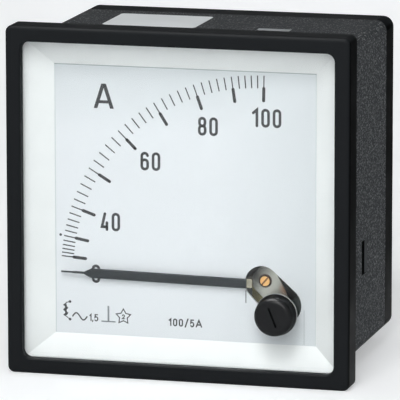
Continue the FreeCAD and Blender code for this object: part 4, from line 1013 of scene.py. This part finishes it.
symbols = bmesh.new()
outline = moved(COIL_OUTLINE, COIL_CENTRE)
spine = moved(COIL_SPINE, COIL_CENTRE)
for here, there in zip(outline, outline[1:] + outline[:1]):
    middle_here, middle_there = nearest(spine, here), nearest(spine, there)
    add_face(symbols, [middle_here, here, there])
    if middle_here != middle_there:
        add_face(symbols, [middle_here, there, middle_there])
for lead in COIL_LEADS:
    dot, end = moved(lead, COIL_CENTRE)
    add_disc(symbols, dot, DOT_RADIUS)
    add_stroke(symbols, [dot, end], LEAD_PEN)
wave = []
for step in range(WAVE_STEPS + 1):
    share = step / WAVE_STEPS
    wave.append((WAVE_LENGTH * (share - 0.5), WAVE_HEIGHT * math.sin(math.tau * share)))
add_stroke(symbols, moved(wave, WAVE_CENTRE), SYMBOL_PEN)
write_row(symbols, CLASS_SIGNS, CLASS_CENTRE, CLASS_TALL, CLASS_PEN)
star = []
for corner in range(STAR_CORNERS):
    radius = STAR_INNER if corner % 2 else STAR_OUTER
    star.append(point_at(STAR_CENTRE, radius, 90 + 360 / STAR_CORNERS * corner))
add_stroke(symbols, star, STAR_PEN, closed=True)
write_row(symbols, TEST_SIGNS, TEST_CENTRE, TEST_TALL, STAR_PEN)
finish_print(symbols, "dial_symbols", INK)

base = POST_LOW + BASE_LIFT
position = bmesh.new()
add_stroke(position, [(POST_X, POST_LOW), (POST_X, POST_HIGH)], POST_PEN, round_ends=False)
ends = [(POST_X - BASE_HALF, base), (POST_X + BASE_HALF, base)]
add_stroke(position, ends, SYMBOL_PEN, round_ends=False)
finish_print(position, "position_symbol", GREY_INK)
print("symbols drawn")

# %% [markdown]
# ## The edge of the dial
#
# The white surround stands a hair in front of the dial. A thin grey line along the top and
# a fainter one on the left and right stand for the shadow in that joint.

# %% Lines along the surround
VIEW_LEFT, VIEW_RIGHT = -27.3, 27.7
VIEW_LOW, VIEW_TOP = -28.3, 27.7
EDGE_PEN = 0.2

edge = VIEW_TOP - EDGE_PEN / 2
top_line = [(VIEW_LEFT, edge), (VIEW_RIGHT, edge)]
draw_lines("top_joint_line", [top_line], EDGE_PEN, TOP_SHADE)
edges = (VIEW_LEFT + EDGE_PEN / 2, VIEW_RIGHT - EDGE_PEN / 2)
side_lines = [[(edge, VIEW_LOW), (edge, VIEW_TOP)] for edge in edges]
draw_lines("side_joint_lines", side_lines, EDGE_PEN, SIDE_SHADE)
print("joint lines round the dial")

# %% [markdown]
# ## Rounded edges of the cover
#
# The CAD cover has sharp rear edges. Its mesh is loose triangles, so it is welded first and
# then its sharp edges are rounded a little with a bevel modifier.

# %% Cover edges
WELD_REACH = 0.001 * MM
EDGE_ROUND = 0.35 * MM
SHARP_FROM = 60
cover = frame["nodes"]["rear_cover"]
weld = cover.modifiers.new("weld", "WELD")
weld.merge_threshold = WELD_REACH
rounding = cover.modifiers.new("round", "BEVEL")
rounding.width = EDGE_ROUND
rounding.segments = 2
rounding.limit_method = "ANGLE"
rounding.angle_limit = math.radians(SHARP_FROM)
rounding.use_clamp_overlap = True
print("cover edges rounded by", round(EDGE_ROUND / MM, 2), "mm")

# %% [markdown]
# ## Two slits
#
# Thin slits beside the opening free the edge of the dial. A sharp dark line of painted
# shade lies over the left one, and a pale grey line of painted shade over the right one.
# Their places are measured from the pointer axis, except the foot of the right one, which
# ends at the edge of the dial.

# %% Lines along the slits
AXIS = (PIVOT.x / MM, PIVOT.z / MM)
LEFT_SLIT = moved([(-3.35, -1.6), (-3.35, -4.2)], AXIS)
LEFT_SLIT_PEN = 0.17
RIGHT_SLIT_SHIFT = 8.85
RIGHT_SLIT_DROP = 5.1
RIGHT_SLIT_FOOT = -28.2
RIGHT_SLIT_PEN = 0.3

slit_x, slit_top = AXIS[0] + RIGHT_SLIT_SHIFT, AXIS[1] - RIGHT_SLIT_DROP
right_slit = [(slit_x, slit_top), (slit_x, RIGHT_SLIT_FOOT)]
# Painted shade: a sharp dark line over the left slit and a pale grey one over the right.
draw_lines("left_slit_shade", [LEFT_SLIT], LEFT_SLIT_PEN, INK)
draw_lines("right_slit_shade", [right_slit], RIGHT_SLIT_PEN, SLIT_SHADE_PALE)
print("slits:", LEFT_SLIT, right_slit)

# %% [markdown]
# ## The label plate
#
# A thin foil label lies on top of the housing.

# %% Label plate
LABEL_LEFT, LABEL_RIGHT = -22.8, -2.9
LABEL_FRONT, LABEL_BACK = 19.2, 34.8
LABEL_CORNER = 0.8
LABEL_THICKNESS = 0.08 * MM
CORNER_STEPS = 6

label_outline = []
for x, y, start in (
    (LABEL_RIGHT - LABEL_CORNER, LABEL_FRONT + LABEL_CORNER, -90),
    (LABEL_RIGHT - LABEL_CORNER, LABEL_BACK - LABEL_CORNER, 0),
    (LABEL_LEFT + LABEL_CORNER, LABEL_BACK - LABEL_CORNER, 90),
    (LABEL_LEFT + LABEL_CORNER, LABEL_FRONT + LABEL_CORNER, 180),
):
    label_outline += arc_points((x, y), LABEL_CORNER, start, start + 90, CORNER_STEPS)
label = bmesh.new()
corners = [label.verts.new((x * MM, y * MM, HOUSING_TOP)) for x, y in label_outline]
raised = bmesh.ops.extrude_face_region(label, geom=[label.faces.new(corners)])
tops = [item for item in raised["geom"] if isinstance(item, bmesh.types.BMVert)]
bmesh.ops.translate(label, verts=tops, vec=(0, 0, LABEL_THICKNESS))
bmesh.ops.recalc_face_normals(label, faces=label.faces)
place_on_case(label, "label_plate", LABEL_FOIL)
print("label plate on top")

# %% [markdown]
# ## Threaded studs
#
# The CAD studs are plain rods. Here each gets a rolled thread behind its nut: a ridge of
# one pitch is spun round the stud and moved along it at each step. The core, the hexagonal
# head inside the cover and the chamfered tip are plain bmesh cones.

# %% Studs with threads
STUD_LOW, STUD_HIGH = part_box("terminal_studs")
NUT_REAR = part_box("terminal_nuts")[1].y
HEX_RADIUS = (STUD_HIGH.z - STUD_LOW.z) / math.sqrt(3)
STUD_X = STUD_HIGH.x - HEX_RADIUS
STUD_Z = (STUD_LOW.z + STUD_HIGH.z) / 2
STUD_CREST = 2.5 * MM
STUD_ROOT = 2.1 * MM
HEAD_HEIGHT = 1.5 * MM
TIP_CHAMFER = 0.5 * MM
TIP_SLOPE = 0.6
THREAD_PITCH = 0.8 * MM
THREAD_STEPS = 24
RIDGE_FOOT = STUD_ROOT * 0.97
# Each corner of the ridge has a radius and a share of the pitch.
RIDGE_CORNERS = ((RIDGE_FOOT, 0.0), (STUD_CREST, 0.4), (STUD_CREST, 0.55), (RIDGE_FOOT, 0.95))
BACKWARD = Matrix.Rotation(math.radians(-90), 4, "X")


def add_rod(mesh, place, front, rear, radius, rear_radius=None, sides=48, turn=BACKWARD):
    """A closed rod along Y, with a radius of its own at the rear where one is given."""
    middle = Vector((place[0], (front + rear) / 2, place[1]))
    bmesh.ops.create_cone(
        mesh,
        cap_ends=True,
        segments=sides,
        radius1=radius,
        radius2=radius if rear_radius is None else rear_radius,
        depth=rear - front,
        matrix=Matrix.Translation(middle) @ turn,
    )


def add_thread_ridge(mesh, place, front, rear):
    """A helical ridge round the rod's core."""
    x, z = place
    turns = (rear - front) / THREAD_PITCH
    corners = [
        mesh.verts.new((x + radius, front + share * THREAD_PITCH, z))
        for radius, share in RIDGE_CORNERS
    ]
    section = mesh.faces.new(corners)
    bmesh.ops.spin(
        mesh,
        geom=[section] + list(section.edges) + corners,
        cent=(x, front, z),
        axis=(0, 1, 0),
        dvec=(0, THREAD_PITCH / THREAD_STEPS, 0),
        angle=math.tau * turns,
        steps=round(THREAD_STEPS * turns),
        use_duplicate=False,
    )


head_rear = STUD_LOW.y + HEAD_HEIGHT
thread_front = NUT_REAR - THREAD_PITCH
tip_front = STUD_HIGH.y - TIP_CHAMFER
tip_radius = STUD_ROOT - TIP_CHAMFER * TIP_SLOPE
studs = bmesh.new()
for side in (-1, 1):
    place = (side * STUD_X, STUD_Z)
    add_rod(studs, place, STUD_LOW.y, head_rear, HEX_RADIUS, sides=6)
    add_rod(studs, place, head_rear, thread_front, STUD_CREST)
    add_rod(studs, place, thread_front, tip_front, STUD_ROOT)
    add_rod(studs, place, tip_front, STUD_HIGH.y, STUD_ROOT, tip_radius)
    add_thread_ridge(studs, place, thread_front, tip_front - THREAD_PITCH)
bmesh.ops.recalc_face_normals(studs, faces=studs.faces)
stud_slot = slot_of["terminal_studs"]
threaded = place_on_case(studs, "threaded_studs", LOOKS[stud_slot])
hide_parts("terminal_studs")
print("studs at", round(STUD_X / MM, 2), "thread pitch", THREAD_PITCH / MM)

# %% [markdown]
# ## Cover screws
#
# The four screws in the corners of the cover have a cross recess. Two thin pyramids, one
# turned a quarter from the other, are cut out of each head with a boolean modifier, and the
# result is kept as a plain mesh.

# %% Screws with a cross recess
SCREWS_LOW, SCREWS_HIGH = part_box("cover_screws")
HEAD_RADIUS = 2.0 * MM
HEAD_DEPTH = 1.5 * MM
HEAD_EDGE = 0.25 * MM
SHANK_RADIUS = 0.95 * MM
SHANK_GAP = 0.01 * MM
RIM_REACH = 0.001 * MM
RECESS_CORNER = 1.25 * MM * math.sqrt(2)
RECESS_DEPTH = 1.2 * MM
RECESS_PROUD = 0.05 * MM
RECESS_THIN = 0.28
SCREW_PLACE = SCREWS_HIGH.x - HEAD_RADIUS
SCREW_PLACES = [(x * SCREW_PLACE, z * SCREW_PLACE) for x in (-1, 1) for z in (-1, 1)]


def cut_pyramids(item, shape):
    """Cuts a four-sided pyramid of one shape, point first, out of each screw head."""
    mesh = bmesh.new()
    rear = SCREWS_HIGH.y + RECESS_PROUD
    turn = Matrix.Diagonal(shape) @ BACKWARD @ Matrix.Rotation(math.radians(45), 4, "Z")
    for place in SCREW_PLACES:
        add_rod(mesh, place, rear - RECESS_DEPTH, rear, 0.0, RECESS_CORNER, 4, turn)
    bmesh.ops.recalc_face_normals(mesh, faces=mesh.faces)
    cutter = link_mesh(mesh, "cutter")
    cut = item.modifiers.new("recess", "BOOLEAN")
    cut.operation = "DIFFERENCE"
    cut.solver = "EXACT"
    cut.object = cutter
    evaluated = item.evaluated_get(bpy.context.evaluated_depsgraph_get())
    result = bpy.data.meshes.new_from_object(evaluated)
    item.modifiers.clear()
    item.data = result
    bpy.data.objects.remove(cutter)


head_front = SCREWS_HIGH.y - HEAD_DEPTH
screws = bmesh.new()
for place in SCREW_PLACES:
    add_rod(screws, place, head_front, SCREWS_HIGH.y, HEAD_RADIUS)
    add_rod(screws, place, SCREWS_LOW.y, head_front - SHANK_GAP, SHANK_RADIUS)
head_rims = [
    edge
    for edge in screws.edges
    if all(vert.co.y > SCREWS_HIGH.y - RIM_REACH for vert in edge.verts)
]
bmesh.ops.bevel(
    screws,
    geom=head_rims,
    offset=HEAD_EDGE,
    segments=3,
    profile=0.5,
    affect="EDGES",
    material=-1,
)
bmesh.ops.recalc_face_normals(screws, faces=screws.faces)
screw_slot = slot_of["cover_screws"]
recessed = place_on_case(screws, "recessed_screws", LOOKS[screw_slot])
for shape in ((RECESS_THIN, 1.0, 1.0, 1.0), (1.0, 1.0, RECESS_THIN, 1.0)):
    cut_pyramids(recessed, shape)
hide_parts("cover_screws")
print("screws at", round(SCREW_PLACE / MM, 2), "faces:", len(recessed.data.polygons))

# %% [markdown]
# ## Camera
#
# The view was taken with a long lens from the right and a little above.

# %% Camera
VIEW_AZIMUTH = 15.0569
VIEW_ELEVATION = 10.6571
VIEW_ROLL = -0.0472
CAMERA_PLACE = Vector((0.25862, -0.94868, 0.18565))
SENSOR = 36.0
LENS = 443.15
CLIP_NEAR, CLIP_FAR = 0.05, 20.0

camera_turn = Matrix.Rotation(math.radians(VIEW_AZIMUTH), 4, "Z")
camera_turn @= Matrix.Rotation(math.radians(90 - VIEW_ELEVATION), 4, "X")
camera_turn @= Matrix.Rotation(math.radians(VIEW_ROLL), 4, "Z")
camera_data = bpy.data.cameras.new("long_lens")
camera_data.lens = LENS
camera_data.sensor_width = SENSOR
camera_data.clip_start = CLIP_NEAR
camera_data.clip_end = CLIP_FAR
camera = link_object("long_lens", camera_data)
camera.matrix_world = Matrix.Translation(CAMERA_PLACE) @ camera_turn
bpy.context.scene.camera = camera
print("camera", round(CAMERA_PLACE.length, 3), "m from the panel face")

# %% [markdown]
# ## Studio
#
# One large softbox near the camera and a smaller one above it light the front, and a weak
# strip behind draws the top edges. The paper floor and the room beyond it are pale to the
# camera and in what metal and glass mirror. As a source of light the room is dimmer, so
# the sides stay darker than the front. Two black cards, one close on the right and one
# overhead, keep the walls of dark plastic from washing out. Only mirrored rays meet them.
# A lamp overhead is seen in mirrored rays alone and draws the edge of the frame and the
# shoulder of the knob. A low fill behind serves the views of the back.

# %% Floor and cards
FLOOR_COLOUR = (238, 239, 240)
FLOOR_GLOW = 0.4
FLOOR_REACH = 3.0
CARD_GAP = 0.022
CARD_LENGTH = 0.2
ROOF_GAP = 0.044
ROOF_LENGTH = 0.35
ROOF_REACH = 0.25


def seen_or_mirrored(tree):
    """One for rays that show the background: from the camera, mirrored or through glass."""
    paths = add_node(tree, "ShaderNodeLightPath").outputs
    direct = math_node(tree, "MAXIMUM", paths["Is Camera Ray"], paths["Is Glossy Ray"])
    return math_node(tree, "MAXIMUM", direct, paths["Is Transmission Ray"])


def make_floor_material():
    """Pale paper that looks a little lighter than it is as a source of light."""
    material = make_material("floor_paper", FLOOR_COLOUR, 0.9, specular=0.1)
    tree = material.node_tree
    paper = tree.nodes["Principled BSDF"]
    paper.inputs["Emission Color"].default_value = screen_colour(*FLOOR_COLOUR)
    glow = math_node(tree, "MULTIPLY", seen_or_mirrored(tree), FLOOR_GLOW)
    tree.links.new(glow, paper.inputs["Emission Strength"])
    return material


def make_stage_sheet(name, material, *sides):
    """A flat sheet of the studio, from one corner and the two edges that start there."""
    corner, along, across = (Vector(side) for side in sides)
    places = (corner, corner + along, corner + along + across, corner + across)
    mesh = bmesh.new()
    mesh.faces.new([mesh.verts.new(place) for place in places])
    sheet = link_mesh(mesh, name, material)
    return sheet


level = cad_low.z
wall = cad_high.x + CARD_GAP
roof = cad_high.z + ROOF_GAP
corner = (-FLOOR_REACH, -FLOOR_REACH, level)
edges = ((2 * FLOOR_REACH, 0, 0), (0, 2 * FLOOR_REACH, 0))
make_stage_sheet("studio_floor", make_floor_material(), corner, *edges)
card_material = make_material("black_card", (8, 8, 8), 0.9, specular=0.0)
for name, *sides in (
    ("side_card", (wall, 0, level), (0, CARD_LENGTH, 0), (0, 0, roof - level)),
    ("roof_card", (-ROOF_REACH, 0, roof), (2 * ROOF_REACH, 0, 0), (0, ROOF_LENGTH, 0)),
):
    card = make_stage_sheet(name, card_material, *sides)
    card.visible_camera = False
    card.visible_diffuse = False
    card.visible_transmission = False
    card.visible_shadow = False
print("floor at", round(level / MM, 1), "mm")

# %% Room and lights
BACKGROUND = screen_colour(236, 237, 238)
ROOM_COLOUR = screen_colour(235, 240, 243)
BRIGHT_SIDE = Vector((0.1, -0.98, 0.1))
FADE_FROM, FADE_TO = -0.4, 0.8
DIM_ROOM, BRIGHT_ROOM = 0.12, 0.38
# The table has a name, a place, a target, a width, a height and a power for each light.
LIGHTS = (
    ("key_front", (0.15, -1.1, 0.5), (0, 0, 0), 0.8, 0.5, 6.2),
    ("key_above", (0.05, -0.72, 0.76), (0, 0, 0), 0.4, 0.3, 3.6),
    ("rim_behind", (-0.1, 0.5, 0.7), (0, 0.02, 0.03), 0.6, 0.3, 0.6),
    ("glint_above", (-0.17, -0.12, 0.62), (0, 0, 0), 0.42, 0.42, 7.8),
    ("fill_behind", (0.0, 1.25, 0.1), (0, 0.05, 0), 0.7, 0.5, 9.0),
)


def add_area(name, place, target, width, height, power):
    """A rectangular soft light that faces the target."""
    data = bpy.data.lights.new(name, "AREA")
    data.shape = "RECTANGLE"
    data.size = width
    data.size_y = height
    data.energy = power
    item = link_object(name, data)
    item.location = place
    direction = Vector(target) - Vector(place)
    item.rotation_euler = direction.to_track_quat("-Z", "Y").to_euler()
    return item


world = bpy.data.worlds.new("studio")
world.use_nodes = True
bpy.context.scene.world = world
tree = world.node_tree
tree.nodes.clear()
heading = add_node(tree, "ShaderNodeTexCoord").outputs["Generated"]
values = {0: heading, 1: BRIGHT_SIDE}
facing = add_node(tree, "ShaderNodeVectorMath", values, operation="DOT_PRODUCT")
fade = ramp_between(tree, facing.outputs["Value"], FADE_FROM, FADE_TO, DIM_ROOM, BRIGHT_ROOM)
ambient = add_node(tree, "ShaderNodeBackground", {"Color": ROOM_COLOUR, "Strength": fade})
backdrop = add_node(tree, "ShaderNodeBackground", {"Color": BACKGROUND})
values = {0: seen_or_mirrored(tree), 1: ambient.outputs[0], 2: backdrop.outputs[0]}
choose = add_node(tree, "ShaderNodeMixShader", values)
add_node(tree, "ShaderNodeOutputWorld", {"Surface": choose.outputs[0]})

lamps = {name: add_area(name, *rest) for name, *rest in LIGHTS}
lamps["glint_above"].visible_diffuse = False
lamps["fill_behind"].visible_glossy = False
bpy.context.scene.view_settings.view_transform = "Standard"
print("lights:", len(lamps))
